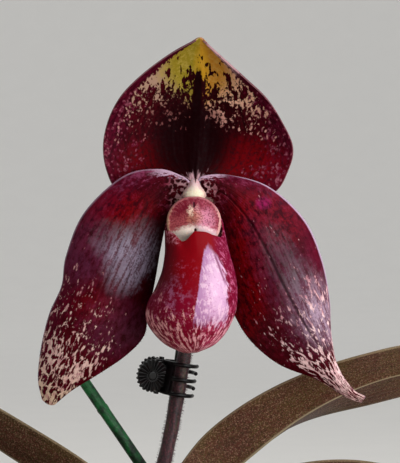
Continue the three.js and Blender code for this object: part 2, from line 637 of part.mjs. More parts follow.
const hole = solid(drum(CLIP.pinRadius + CLIP.pinClear, 2 * CLIP.pinLength, 14).translate(CLIP.pin, 0, 0));
const pin = solid(drum(CLIP.pinRadius, CLIP.pinLength, 14).translate(CLIP.pin, 0, 0));
const frontJaw = jaw(FRONT_JAW).subtract(hole);
const backJaw = jaw(BACK_JAW).add(pin);
const SPRING = { turns: 3, inner: 1.15, outer: 1.7, height: 2.7 };
const springProfile = [[SPRING.inner, -SPRING.height / 2]];
for (let k = 0; k < SPRING.turns; k++) {
  const low = -SPRING.height / 2 + (SPRING.height * k) / SPRING.turns;
  const waist = SPRING.outer - 0.2;
  springProfile.push([waist, low + 0.02], [SPRING.outer, low + 0.45], [waist, low + 0.88]);
}
springProfile.push([SPRING.inner, SPRING.height / 2], [SPRING.inner, -SPRING.height / 2]);

const clip = new THREE.Group();
clip.position.set(...CLIP.place);
clip.rotation.y = degrees(CLIP.lean);
part.add(clip);
place("clip_front_jaw", frontJaw, CLIP_BLACK, clip);
place("clip_back_jaw", backJaw, CLIP_BLACK, clip);
place("clip_spring", lathe(springProfile, 14).translate(CLIP.pin, 0, 0), STEEL, clip);

// ---------- pot ----------
const POT_TOP_OUTSIDE = POT.rimRadius - 4;
const POT_INSIDE_TOP = POT.rimRadius - 7.4;
const POT_INSIDE_FOOT = POT.baseRadius - POT.wall;
const insideRadius = (z) => POT_INSIDE_FOOT + ((POT_INSIDE_TOP - POT_INSIDE_FOOT) * z) / POT.height;
const potProfile = [
  [0, 0], [POT.baseRadius - 1, 0], [POT.baseRadius, 1.2], [POT_TOP_OUTSIDE - 0.6, POT.height - POT.rimHeight],
  [POT.rimRadius - 1.2, POT.height - POT.rimHeight], [POT.rimRadius - 0.4, POT.height - POT.rimHeight + 1],
  [POT.rimRadius, POT.height - 1.6],
  [POT.rimRadius - 1.6, POT.height], [POT_INSIDE_TOP + 1.6, POT.height], [POT_INSIDE_TOP, POT.height - 1.6],
  [insideRadius(POT.floor), POT.floor], [0, POT.floor],
];
const DRAINS = 3;
let pot = solid(lathe(potProfile, 48));
for (let k = 0; k < DRAINS; k++) {
  const angle = (2 * Math.PI * k) / DRAINS + Math.PI / 2;
  const reach = POT.baseRadius * 0.55;
  const drain = drum(POT.drainRadius, 30, 16).translate(reach * Math.cos(angle), reach * Math.sin(angle), 0);
  pot = pot.subtract(solid(drain));
}
place("pot", pot, CLAY);

// ---------- bark mix ----------
function chip(random, x, y, size) {
  const geometry = new THREE.BoxGeometry(size, size * (0.5 + 0.3 * random()),
    size * (0.35 + 0.25 * random()));
  const corners = geometry.getAttribute("position");
  const skew = 0.25 * (random() - 0.5);
  for (let k = 0; k < corners.count; k++) {
    corners.setX(k, corners.getX(k) + skew * corners.getY(k));
    if (corners.getX(k) > 0) corners.setY(k, corners.getY(k) * 0.72);
  }
  geometry.rotateX(0.7 * (random() - 0.5)).rotateY(0.7 * (random() - 0.5)).rotateZ(Math.PI * random());
  return geometry.translate(x, y, MIX.top + 0.2 + 1.6 * random());
}

const mixRadius = (z) => insideRadius(z) - MIX.wallGap;
const mixBottom = POT.floor + MIX.bottomGap;
const MIX_FOOT = [[0, mixBottom], [mixRadius(mixBottom), mixBottom]];
let mix = solid(lathe([...MIX_FOOT, [mixRadius(MIX.top), MIX.top], [0, MIX.top + 0.5]], 40));
const random = randomFrom(MIX.seed);
const GOLDEN_ANGLE = 2.39996;
for (let k = 0; k < MIX.chips; k++) {
  const reach = 8 + 31 * Math.sqrt((k + 0.5) / MIX.chips);
  const angle = k * GOLDEN_ANGLE;
  const [x, y] = [reach * Math.cos(angle), reach * Math.sin(angle)];
  const size = MIX.chipLength * (0.6 + 0.4 * random());
  const clear = Math.hypot(x - CROWN.x, y - CROWN.y) > MIX.clearing + size * 0.4;
  if (clear) mix = mix.add(solid(chip(random, x, y, size)));
}
const room = solid(lathe([...MIX_FOOT, [mixRadius(POT.height), POT.height], [0, POT.height]], 40));
mix = mix.intersect(room);
mix = mix.subtract(solid(crownBody(CLEAR)));
for (const each of ROOTS) mix = mix.subtract(solid(root(each, CLEAR)));
for (const [stick, sides] of [[CANE, 10], [STAKE, 8]]) {
  const deeper = vector(stick.foot).sub(vector(stick.tip)).setLength(CLEAR).add(vector(stick.foot));
  mix = mix.subtract(solid(rod(deeper.toArray(), stick.tip, stick.radius + CLEAR, sides)));
}
const bodies = mix.decompose().sort((a, b) => b.volume() - a.volume());
place("bark_mix", bodies[0], BARK);

export default part;
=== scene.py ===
"""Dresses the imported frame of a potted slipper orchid: flower, stem, leaves, stakes, clip, pot and bark.

Lengths in this file are millimetres in the frame's own axes, turned into metres where a mesh is made.
The flower faces -Y, +Z is up, and the origin is the centre of the pot's underside.
"""

import math

import bpy
import numpy as np
from bpy.props import FloatProperty, FloatVectorProperty, IntProperty, PointerProperty
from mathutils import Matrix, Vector


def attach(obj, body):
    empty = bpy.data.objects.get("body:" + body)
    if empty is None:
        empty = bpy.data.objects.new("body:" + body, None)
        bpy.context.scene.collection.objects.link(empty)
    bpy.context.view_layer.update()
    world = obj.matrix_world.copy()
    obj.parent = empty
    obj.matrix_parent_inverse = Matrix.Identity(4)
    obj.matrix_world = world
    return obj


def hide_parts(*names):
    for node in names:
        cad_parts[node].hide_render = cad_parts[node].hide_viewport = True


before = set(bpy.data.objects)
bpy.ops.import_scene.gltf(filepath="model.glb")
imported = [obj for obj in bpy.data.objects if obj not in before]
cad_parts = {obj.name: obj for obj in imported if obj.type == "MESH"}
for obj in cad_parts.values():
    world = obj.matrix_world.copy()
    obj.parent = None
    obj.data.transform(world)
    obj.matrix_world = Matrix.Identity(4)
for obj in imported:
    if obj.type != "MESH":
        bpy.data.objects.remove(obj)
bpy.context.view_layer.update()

bl_info = {
    "name": "Potted slipper orchid",
    "version": (1, 0, 0),
    "blender": (4, 5, 0),
    "location": "3D View > Sidebar > Orchid",
    "description": "Builds the visible pieces of a potted slipper orchid round its frame",
    "category": "Add Mesh",
}

MM = 0.001
PLANT = "potted_plant"
FRONT_JAW = "front_jaw"


# ---- settings
def rgb(red, green, blue):
    """A colour given in screen values from 0 to 255, as linear light."""
    def one(value):
        value /= 255
        return value / 12.92 if value <= 0.04045 else ((value + 0.055) / 1.055) ** 2.4

    return one(red), one(green), one(blue)


def tint(name, description, red, green, blue):
    return FloatVectorProperty(
        name=name, description=description, subtype="COLOR", size=3, min=0, max=1,
        default=rgb(red, green, blue)
    )


class FlowerSettings(bpy.types.PropertyGroup):
    """Relief and colours of the flower."""

    vein_relief: FloatProperty(
        name="Vein relief", description="Height of the veins on the tepals", default=0.07 * MM,
        min=0, max=0.3 * MM, unit="LENGTH", precision=6,
    )
    hair_length: FloatProperty(
        name="Hair length", description="Length of the hairs on stem, ovary and petal margins",
        default=0.9 * MM, min=0.1 * MM, max=3 * MM, unit="LENGTH", precision=6,
    )
    hair_count: IntProperty(name="Hairs", description="Hairs on the stem", default=2600, min=0, max=8000)
    wine: tint("Wine", "Ground colour of the tepals", 66, 3, 13)
    deep_wine: tint("Deep wine", "Darkest part of the tepals", 18, 0, 2)
    red: tint("Red", "Bright patches on petals and pouch", 112, 2, 7)
    magenta: tint("Magenta", "Margins of the tepals", 88, 14, 42)
    cream: tint("Cream", "Net on the lower sepal", 190, 148, 134)
    # the lilac paints the sheen on the petals' shoulders, a painted highlight
    lilac: tint("Lilac", "Pale shoulders of the petals", 190, 160, 182)
    yellow_green: tint("Yellow green", "Left of the dorsal sepal's tip", 140, 122, 32)
    orange_yellow: tint("Orange yellow", "Right of the dorsal sepal's tip", 184, 124, 42)


class PlantSettings(bpy.types.PropertyGroup):
    """Colours of leaves and stem."""

    leaf_green: tint("Leaf green", "Ground colour of the leaves", 58, 56, 28)
    leaf_brown: tint("Leaf brown", "Flush of fine speckles on the leaves", 84, 36, 34)
    leaf_edge: tint("Leaf edge", "Paler keel line and margins", 168, 152, 122)
    stem: tint("Stem", "Colour of the scape", 24, 6, 12)
    ovary: tint("Ovary", "Colour of ovary and bract", 66, 46, 34)


class HolderSettings(bpy.types.PropertyGroup):
    """Pot, bark, cane and clip."""

    chips: IntProperty(name="Bark chips", description="Chips on top of the mix", default=300, min=20, max=500)
    grains: IntProperty(
        name="Pumice grains", description="Pale grains among the chips", default=70, min=0, max=300
    )
    clay: tint("Clay", "Fired clay of the pot", 168, 92, 58)
    bark: tint("Bark", "Colour of the bark chips", 98, 60, 36)
    cane: tint("Cane", "Dye of the bamboo cane", 16, 102, 48)
    plastic: tint("Clip plastic", "Colour of the clip", 6, 4, 5)


class StudioSettings(bpy.types.PropertyGroup):
    """Lights, floor and camera."""

    key_power: FloatProperty(
        name="Key light", description="Power of the large softbox", default=11, min=0, max=200, unit="POWER"
    )
    back_power: FloatProperty(
        name="Back light", description="Power of the light behind", default=5, min=0, max=200, unit="POWER"
    )
    fill: FloatProperty(
        name="Fill", description="Strength of the even light all round", default=0.3, min=0, max=3
    )
    distance: FloatProperty(
        name="Camera distance", description="From the camera to the flower", default=0.55, min=0.1, max=5,
        unit="LENGTH"
    )
    floor: tint("Floor", "Colour of floor and backdrop", 206, 204, 199)


SETTINGS = {
    "orchid_flower": FlowerSettings,
    "orchid_plant": PlantSettings,
    "orchid_holder": HolderSettings,
    "orchid_studio": StudioSettings,
}


# ---- curves
def curve(points):
    """A smooth line through the points, spaced evenly in t from 0 to 1. It takes arrays of t."""
    points = np.array(points, float)
    if points.ndim == 1:
        points = points[:, None]
    spans = len(points) - 1
    ends = np.vstack([2 * points[0] - points[1], points, 2 * points[-1] - points[-2]])

    def at(t):
        where = np.clip(np.asarray(t, float), 0, 1) * spans
        k = np.minimum(where.astype(int), spans - 1)
        w = (where - k)[..., None]
        before, start, end, after = (ends[k + i] for i in range(4))
        leave, arrive = (end - before) / 2, (after - start) / 2
        bend = -3 * start + 3 * end - 2 * leave - arrive
        twist = 2 * start - 2 * end + leave + arrive
        return start + leave * w + bend * w**2 + twist * w**3

    return at


def level(values):
    """A number that runs smoothly through the values as t goes from 0 to 1."""
    along = curve(values)
    return lambda t: along(t)[..., 0]


def unit(vectors):
    return vectors / np.maximum(np.linalg.norm(vectors, axis=-1, keepdims=True), 1e-12)


def eased(value, low, high):
    w = np.clip((value - low) / (high - low), 0, 1)
    return w * w * (3 - 2 * w)


def ripple(points, size, seed, octaves=3):
    """Even, smooth noise of about -1 to 1 at the points: crossed waves of random direction."""
    random = np.random.default_rng(seed)
    total = np.zeros(points.shape[:-1])
    weight = 0
    for octave in range(octaves):
        for _ in range(5):
            way = unit(random.normal(size=3)) * 2 * np.pi * 2**octave / size
            total += np.sin(points @ way + random.uniform(0, 2 * np.pi)) / 2**octave
        weight += 2.2 / 2**octave
    return total / weight


def full_turn(count):
    """Evenly spaced angles once round."""
    return np.linspace(0, 2 * np.pi, count, endpoint=False)


def about_axis(reach, angle, z):
    """Points at a reach and an angle round the Z axis."""
    return np.stack(np.broadcast_arrays(reach * np.cos(angle), reach * np.sin(angle), z), axis=-1)


# ---- meshes
QUARTERS = [(1, 1), (-1, 1), (-1, -1), (1, -1)]
HAIR_DROOP = 0.25  # how far a hair's tip sinks, as a share of its length


def grid_faces(rows, columns, start=0, wrap=False):
    """Four-sided faces between rows x columns points, and round the columns where they wrap."""
    j, i = np.meshgrid(np.arange(rows - 1), np.arange(columns if wrap else columns - 1), indexing="ij")
    near = start + j * columns + i
    beside = start + j * columns + (i + 1) % columns
    return np.stack([near, beside, beside + columns, near + columns], axis=-1).reshape(-1, 4)


def fan(centre, ring, turned=False):
    """Triangles from a centre point to a closed ring of points."""
    after = np.roll(ring, -1)
    pair = (after, ring) if turned else (ring, after)
    return np.stack([np.full(len(ring), centre), *pair], axis=-1)


class Form:
    """Points and faces of one closed surface or several, with three values per point for its finish."""

    def __init__(self, points, faces, marks=None):
        self.points = np.asarray(points, float).reshape(-1, 3)
        self.faces = [np.asarray(f, int) for f in faces]
        self.marks = np.asarray(np.zeros(self.points.shape) if marks is None else marks, float).reshape(-1, 3)

    def turned_out(self):
        """Turns all faces round if they look inwards."""
        volume = 0
        for faces in self.faces:
            a = self.points[faces[:, 0]]
            for k in range(1, faces.shape[1] - 1):
                volume += np.einsum(
                    "ij,ij->", a, np.cross(self.points[faces[:, k]], self.points[faces[:, k + 1]])
                )
        if volume < 0:
            self.faces = [faces[:, ::-1] for faces in self.faces]
        return self

    def moved(self, shift=(0, 0, 0), matrix=None):
        points = self.points if matrix is None else self.points @ np.asarray(matrix).T
        return Form(points + np.asarray(shift), self.faces, self.marks)

    @staticmethod
    def together(forms):
        points, faces, marks, start = [], [], [], 0
        for form in forms:
            points.append(form.points)
            marks.append(form.marks)
            faces.extend(f + start for f in form.faces)
            start += len(form.points)
        return Form(np.vstack(points), faces, np.vstack(marks))


def rings(stack, marks=None):
    """A closed body of stacked rings, an array of rings x points x 3, closed to a middle at both ends."""
    count, sides = stack.shape[:2]
    points = np.vstack([stack.reshape(-1, 3), stack[0].mean(0), stack[-1].mean(0)])
    first, last = count * sides, count * sides + 1
    faces = [
        grid_faces(count, sides, wrap=True),
        fan(first, np.arange(sides), turned=True),
        fan(last, (count - 1) * sides + np.arange(sides)),
    ]
    if marks is not None:
        marks = np.vstack([marks.reshape(-1, 3), marks[0].mean(0), marks[-1].mean(0)])
    return Form(points, faces, marks).turned_out()


def frames_along(path):
    """Two directions square to a path of points, carried along it without twist."""
    tangents = unit(np.gradient(path, axis=0))
    first = np.cross(tangents[0], [0, 1, 0] if abs(tangents[0][1]) < 0.9 else [1, 0, 0])
    normals = [unit(first)]
    for tangent in tangents[1:]:
        normals.append(unit(normals[-1] - tangent * (normals[-1] @ tangent)))
    normals = np.array(normals)
    return normals, np.cross(tangents, normals)


def limb(path, radius, sides, mark=0):
    """A round stem along path, with the outline radius(t, angle). Marks: angle, t and a number."""
    normals, binormals = frames_along(path)
    t = np.linspace(0, 1, len(path))[:, None]
    angle = full_turn(sides)[None, :]
    reach = np.broadcast_to(radius(t, angle), (len(path), sides))[..., None]
    turn = angle[..., None]
    stack = path[:, None] + reach * (np.cos(turn) * normals[:, None] + np.sin(turn) * binormals[:, None])
    marks = np.stack(np.broadcast_arrays(angle, t, mark), axis=-1)
    return rings(stack, marks)


def even_path(at, count):
    """Points at even distances along a curve."""
    fine = at(np.linspace(0, 1, 400))
    run = np.concatenate([[0], np.cumsum(np.linalg.norm(np.diff(fine, axis=0), axis=1))])
    return np.stack([np.interp(np.linspace(0, run[-1], count), run, fine[:, k]) for k in range(3)], axis=-1)


def domed(t, length, radius, both=True):
    """How much of its radius a rod keeps near its ends, so that they are round."""
    reach = np.minimum(t, 1 - t) * length if both else (1 - t) * length
    return np.sqrt(np.clip(1 - (1 - np.clip(reach / radius, 0.02, 1)) ** 2, 0, 1))


def rounded(profile, radius, steps=4, spacing=None):
    """A profile with its inner corners rounded, and its long lines split at the spacing."""
    profile = np.array(profile, float)
    out = [profile[0]]
    for before, corner, after in zip(profile, profile[1:], profile[2:]):
        into, away = corner - before, after - corner
        reach_in = min(radius, np.linalg.norm(into) * 0.45)
        reach_out = min(radius, np.linalg.norm(away) * 0.45)
        start, end = corner - unit(into) * reach_in, corner + unit(away) * reach_out
        for w in np.linspace(0, 1, steps + 1):
            out.append((1 - w) ** 2 * start + 2 * w * (1 - w) * corner + w * w * end)
    out.append(profile[-1])
    if not spacing:
        return np.array(out)
    split = [out[0]]
    for a, b in zip(out, out[1:]):
        count = max(1, round(np.linalg.norm(b - a) / spacing))
        split.extend(a + (b - a) * k / count for k in range(1, count + 1))
    return np.array(split)


def lathe(profile, segments, relief=None):
    """A body turned about the Z axis. The profile's first and last points lie on the axis."""
    angle = full_turn(segments)[None, :]
    inner = np.asarray(profile, float)[1:-1]
    reach, height = inner[:, :1], inner[:, 1:]
    if relief:
        reach = reach + relief(reach, height, angle)
    return rings(about_axis(reach, angle, height))


def slab(width, depth, height):
    """A block with rounded edges, centred at the origin."""
    bevel = 0.25
    corner = np.linspace(0, np.pi / 2, 4)

    def outline(inset):
        x, y, r = width / 2 - inset, depth / 2 - inset, max(bevel - inset, 0.02)
        points = []
        for quarter, (sx, sy) in enumerate(QUARTERS):
            angle = corner + quarter * np.pi / 2
            points.extend(zip(sx * (x - r) + r * np.cos(angle), sy * (y - r) + r * np.sin(angle)))
        return np.array(points)

    stack = []
    for angle in corner:
        ring = outline(bevel * (1 - np.sin(angle)))
        stack.append(np.column_stack([ring, np.full(len(ring), bevel * (1 - np.cos(angle)) - height / 2)]))
    stack += [np.column_stack([ring[:, :2], -ring[:, 2]]) for ring in stack[::-1]]
    return rings(np.array(stack))


def blade(at, thickness, across, along, towards, relief, back_relief=None):
    """A thin closed body round the surface at(s, t), s from -1 to 1 across and t from 0 to 1 along, with a
    round margin. Marks: s, t, and 1 on the face that looks the given way, -1 behind, 0 on the margin."""
    s, t = np.meshgrid(np.linspace(-1, 1, across + 1), np.linspace(0, 1, along + 1))
    middle = at(s, t)
    ways = np.gradient(middle, axis=1), np.gradient(middle, axis=0)
    normal = unit(np.cross(*ways))
    if (normal @ np.asarray(towards, float)).mean() < 0:
        normal = -normal
    half = thickness(s, t)[..., None] / 2
    back_lift = back_relief(s, t)[..., None] if back_relief else 0
    front, back = middle + normal * (half + relief(s, t)[..., None]), middle - normal * (half + back_lift)
    columns, rows = across + 1, along + 1
    border = np.concatenate([
        np.arange(columns),
        np.arange(1, rows) * columns + across,
        along * columns + np.arange(across - 1, -1, -1),
        np.arange(along - 1, 0, -1) * columns,
    ])
    ring = middle.reshape(-1, 3)[border]
    inward = np.roll(ring, -1, 0) - np.roll(ring, 1, 0)
    out = unit(np.cross(inward, normal.reshape(-1, 3)[border]))
    if ((ring - middle.reshape(-1, 3).mean(0)) * out).sum() < 0:
        out = -out
    rim = ring + out * half.reshape(-1, 1)[border] * 0.85
    size = rows * columns
    rim_index = 2 * size + np.arange(len(border))
    loops = []
    for first, second in ((border, rim_index), (rim_index, size + border)):
        loops.append(np.stack([first, second, np.roll(second, -1), np.roll(first, -1)], axis=-1))
    faces = [grid_faces(rows, columns), grid_faces(rows, columns, size)[:, ::-1], *loops]
    flat = np.stack([s, t], axis=-1).reshape(-1, 2)
    marks = np.vstack([
        np.column_stack([flat, np.ones(size)]),
        np.column_stack([flat, -np.ones(size)]),
        np.column_stack([flat[border], np.zeros(len(border))]),
    ])
    return Form(np.vstack([front.reshape(-1, 3), back.reshape(-1, 3), rim]), faces, marks).turned_out()


def hairs(roots, ways, length, radius, seed):
    """Fine tapered hairs, each three-sided with a bend half-way."""
    random = np.random.default_rng(seed)
    count = len(roots)
    ways = unit(unit(ways) + random.normal(scale=0.22, size=(count, 3)))
    length = (length * random.uniform(0.55, 1.15, count))[:, None]
    side = unit(np.cross(ways, random.normal(size=(count, 3))))
    other = np.cross(ways, side)
    middle = roots + ways * length * 0.55
    tip = roots + ways * length - np.array([0, 0, HAIR_DROOP]) * length
    points = []
    for centre, thick in ((roots - ways * 0.1, radius), (middle, radius * 0.7)):
        for k in range(3):
            turn = 2 * np.pi * k / 3
            points.append(centre + thick * (math.cos(turn) * side + math.sin(turn) * other))
    points.append(tip)
    points = np.stack(points, axis=1).reshape(-1, 3)
    start = (np.arange(count) * 7)[:, None]
    quads = np.array([[k, (k + 1) % 3, 3 + (k + 1) % 3, 3 + k] for k in range(3)])
    tips = np.array([[3 + k, 3 + (k + 1) % 3, 6] for k in range(3)])
    base = np.array([[2, 1, 0]])
    faces = [(start[..., None] + f[None]).reshape(-1, f.shape[1]) for f in (quads, tips, base)]
    return Form(points, faces).turned_out()


def scatter(form, count, seed):
    """Random places on the four-sided faces of a form, with the way out of each."""
    random = np.random.default_rng(seed)
    corners = form.points[form.faces[0]]
    way = np.cross(corners[:, 2] - corners[:, 0], corners[:, 3] - corners[:, 1])
    area = np.linalg.norm(way, axis=1)
    chosen = random.choice(len(corners), count, p=area / area.sum())
    u, v = random.uniform(size=(2, count, 1))
    c = corners[chosen]
    place = (1 - u) * (1 - v) * c[:, 0] + u * (1 - v) * c[:, 1] + u * v * c[:, 2] + (1 - u) * v * c[:, 3]
    return place, unit(way[chosen])


def make_object(name, form, material, crease=None):
    """A Blender object of a form. Faces that meet at more than crease degrees keep a sharp edge."""
    mesh = bpy.data.meshes.new(name)
    mesh.vertices.add(len(form.points))
    mesh.vertices.foreach_set("co", (form.points * MM).astype(np.float32).ravel())
    corners = np.concatenate([faces.ravel() for faces in form.faces]).astype(np.int32)
    sizes = np.concatenate([np.full(len(faces), faces.shape[1]) for faces in form.faces])
    mesh.loops.add(len(corners))
    mesh.loops.foreach_set("vertex_index", corners)
    mesh.polygons.add(len(sizes))
    mesh.polygons.foreach_set("loop_start", np.concatenate([[0], np.cumsum(sizes)[:-1]]).astype(np.int32))
    mesh.update(calc_edges=True)
    marks = mesh.attributes.new("marks", "FLOAT_VECTOR", "POINT")
    marks.data.foreach_set("vector", form.marks.astype(np.float32).ravel())
    if mesh.validate():
        raise RuntimeError(name + " has faces that Blender had to mend")
    mesh.shade_smooth()
    if crease:
        mesh.set_sharp_from_angle(angle=math.radians(crease))
    mesh.materials.append(material)
    made = bpy.data.objects.new(name, mesh)
    bpy.context.scene.collection.objects.link(made)
    return made


def piece(name, form, material, replaces=(), body=PLANT, crease=None):
    """Adds a visible piece, and says which body it rides on and which solids it stands for."""
    made = make_object(name, form, material, crease)
    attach(made, body)
    if replaces:
        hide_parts(*replaces)
    return made


# ---- materials
class Tone:
    """A value that a material's nodes work out. Arithmetic on it adds Math nodes."""

    def __init__(self, finish, socket):
        self.finish = finish
        self.socket = socket

    def __add__(self, other):
        return self.finish.math("ADD", self, other)

    def __sub__(self, other):
        return self.finish.math("SUBTRACT", self, other)

    def __rsub__(self, other):
        return self.finish.math("SUBTRACT", other, self)

    def __mul__(self, other):
        return self.finish.math("MULTIPLY", self, other)

    def __truediv__(self, other):
        return self.finish.math("DIVIDE", self, other)

    def __abs__(self):
        return self.finish.math("ABSOLUTE", self)

    __radd__ = __add__
    __rmul__ = __mul__


class Finish:
    """One material, built from its nodes. Places are in millimetres from the given centre."""

    def __init__(self, name, centre=(0, 0, 0)):
        self.material = bpy.data.materials.new(name)
        self.material.use_nodes = True
        self.nodes = self.material.node_tree.nodes
        self.links = self.material.node_tree.links
        self.nodes.clear()
        self.centre = centre
        self.skin = (0, 0, 0)

    @staticmethod
    def find(sockets, key):
        for socket in sockets:
            if socket.identifier == key or (socket.name == key and socket.enabled):
                return socket
        raise KeyError(key)

    def node(self, kind, settings=(), inputs=(), output=0):
        """Adds a node: settings first, then the values or links of its sockets. Gives the named output."""
        node = self.nodes.new(kind)
        for key, value in dict(settings).items():
            setattr(node, key, value)
        for key, value in dict(inputs).items():
            socket = self.find(node.inputs, key)
            if isinstance(value, Tone):
                self.links.new(value.socket, socket)
            elif hasattr(value, "__len__") and len(value) == 3 and len(socket.default_value) == 4:
                socket.default_value = (*value, 1)
            else:
                socket.default_value = value
        chosen = node.outputs[output] if isinstance(output, int) else self.find(node.outputs, output)
        return Tone(self, chosen)

    def math(self, operation, *values):
        inputs = dict(zip(("Value", "Value_001"), values))
        return self.node("ShaderNodeMath", {"operation": operation}, inputs, "Value")

    def most(self, a, b):
        return self.math("MAXIMUM", a, b)

    def step(self, value, low, high):
        """0 below low, 1 above high, smooth between; the other way round where low is more than high."""
        inputs = {"Value": value, "From Min": low, "From Max": high}
        return self.node("ShaderNodeMapRange", {"interpolation_type": "SMOOTHSTEP"}, inputs, "Result")

    def vector(self, x, y, z=0):
        return self.node("ShaderNodeCombineXYZ", (), {"X": x, "Y": y, "Z": z})

    def parts(self, vector):
        node = self.node("ShaderNodeSeparateXYZ", (), {"Vector": vector})
        return [Tone(self, socket) for socket in node.socket.node.outputs]

    def marks(self):
        """The three numbers that the piece carries at each of its points."""
        return self.parts(self.node("ShaderNodeAttribute", {"attribute_name": "marks"}, (), "Vector"))

    def spot(self):
        """Where the surface is, in millimetres from the finish's centre."""
        place = self.node("ShaderNodeTexCoord", (), (), "Object")
        scaled = self.node("ShaderNodeVectorMath", {"operation": "SCALE"}, {"Vector": place, "Scale": 1 / MM})
        shift = {"Vector": scaled, "Vector_001": self.centre}
        return self.node("ShaderNodeVectorMath", {"operation": "SUBTRACT"}, shift)

    def noise(self, where, scale, detail=2, roughness=0.5):
        inputs = {"Vector": where, "Scale": scale, "Detail": detail, "Roughness": roughness}
        return self.node("ShaderNodeTexNoise", (), inputs, "Fac")

    def grain(self, *numbers):
        """Noise over the places on the surface, with noise's own numbers."""
        return self.noise(self.spot(), *numbers)

    def cells(self, where, scale=1, feature="DISTANCE_TO_EDGE", flat=True):
        settings = {"feature": feature, "voronoi_dimensions": "2D" if flat else "3D"}
        inputs = {"Vector": where, "Scale": scale, "Randomness": 1}
        return self.node("ShaderNodeTexVoronoi", settings, inputs, "Distance")

    def mix(self, share, a, b):
        settings = {"data_type": "RGBA", "clamp_factor": True}
        return self.node(
            "ShaderNodeMix", settings, {"Factor_Float": share, "A_Color": a, "B_Color": b}, "Result_Color"
        )

    def paint(self, share, colour):
        """Lays a colour over the skin, as strongly as share says at each place."""
        self.skin = self.mix(share, self.skin, colour)

    def round_patch(self, x, z, middle, reach, soft=0.6):
        """1 inside an upright ellipse, 0 outside, with a soft border."""
        across, up = (x - middle[0]) / reach[0], (z - middle[1]) / reach[1]
        return self.step(across * across + up * up, 1 + soft, 1 - soft)

    def bump(self, height, depth):
        return self.node(
            "ShaderNodeBump", (), {"Height": height, "Distance": depth * MM, "Strength": 1}, "Normal"
        )

    def surface(self, **sockets):
        """Closes the material with a Principled BSDF in the skin's colour. Keywords name its sockets."""
        inputs = {"Base Color": self.skin}
        inputs.update((key.replace("_", " "), value) for key, value in sockets.items())
        shader = self.node("ShaderNodeBsdfPrincipled", (), inputs, "BSDF")
        output = self.nodes.new("ShaderNodeOutputMaterial")
        self.links.new(shader.socket, output.inputs["Surface"])
        return self.material


# ---- the flower's form
FLOWER = np.array([10.5, -12, 201])
PETAL_THICKNESS, MARGIN_THICKNESS = 1.1, 0.65
HAIRY_SPAN = (0.08, 0.9)  # where a petal's margins carry hairs, as shares of the way to its tip

DORSAL = {
    "left": [
        [-1.9, 4, 2.75], [-13.5, 5.4, -1.2], [-22.5, 5.2, 0.2], [-25.9, 4.2, 6], [-26.9, 2.6, 13.5],
        [-25.2, 0.6, 21.3], [-21.2, -1.6, 28.3], [-14.3, -3.8, 34.9], [-6.6, -5.8, 40.3], [0.6, -7.4, 44],
    ],
    "middle": [
        [0.1, 4, 2.8], [0.3, 5.4, 6], [0.6, 6.8, 10], [0.9, 7.6, 14.5], [1.2, 7.6, 19.5], [1.5, 6.8, 25],
        [1.8, 5, 30.5], [2, 2, 36], [2.1, -2.4, 41.2], [2.1, -7.2, 44.9],
    ],
    "right": [
        [2.1, 4, 2.75], [14.6, 5.4, -1.8], [24.4, 5.2, -0.4], [28.8, 4.2, 6.6], [29.9, 2.6, 13.2],
        [26.4, 0.6, 20.9], [22, -1.6, 27.3], [15, -3.8, 33.6], [8.7, -5.8, 39.1], [3.3, -7.4, 43.9],
    ],
}
LEFT_PETAL = {
    "left": [
        [-0.6, 0.2, 2], [-3.6, 0.5, 4.2], [-10.5, 2.1, 6.2], [-21, 1.6, 4], [-32.5, 0.4, -6.8],
        [-37.8, -0.6, -19.5], [-39.1, -0.8, -28.6], [-42.8, -1, -37], [-45.3, -0.8, -47],
        [-46.3, -0.2, -56.4], [-45.2, 0.9, -62.8],
    ],
    "middle": [
        [-0.6, 0.2, 0.6], [-3.6, -0.3, 0.7], [-9.5, -1.4, -1.2], [-17, -3.4, -8.6], [-22.6, -5.4, -18],
        [-26.7, -6.4, -28.5], [-29.6, -6.6, -36], [-33, -6.2, -43.6], [-36.8, -4.6, -51.2],
        [-40.6, -2.4, -58.4], [-43.3, 0.6, -64.2],
    ],
    "right": [
        [-0.6, 0.2, -1], [-3.4, 0.5, -3.2], [-7.6, 1.9, -8], [-9.8, 2.2, -16.5], [-11.6, 2, -27],
        [-13.6, 1.2, -37], [-15, 0.4, -43.8], [-20.2, -0.2, -49.4], [-28, -0.4, -54.7],
        [-36.3, 0, -59.8], [-41.7, 1.1, -64.2],
    ],
}
RIGHT_PETAL = {
    "left": [
        [0.6, 0.2, -1], [3.4, 0.5, -3.2], [6, 1.9, -8.4], [7.6, 2.4, -18], [9, 2.4, -28],
        [12.6, 1.4, -37.4],
        [17.6, 0.2, -45.2], [26, -0.8, -52.1], [37.4, -1.6, -56.6], [45.4, -1.4, -61.5], [50.4, 0.2, -63.6],
    ],
    "middle": [
        [0.6, 0.2, 0.6], [3.6, -0.3, 0.6], [9.8, -1.4, -1.6], [17, -3.4, -9.6], [22.4, -5.4, -19.6],
        [27.2, -6.4, -29.6], [32.4, -6.4, -39], [37.6, -5.4, -47.4], [42, -4, -54.4], [46.6, -2.4, -60.5],
        [50.9, -0.2, -62.8],
    ],
    "right": [
        [0.6, 0.2, 2], [3.6, 0.5, 4.2], [11.2, 2.1, 4.3], [22.6, 1.6, 0.9], [33, 0.4, -8.6],
        [38.2, -0.4, -20],
        [40.7, -0.6, -32.8], [41, -1, -43.6], [42.4, -1.8, -51.9], [47.4, -1.5, -59.4], [51.5, 0.2, -62],
    ],
}
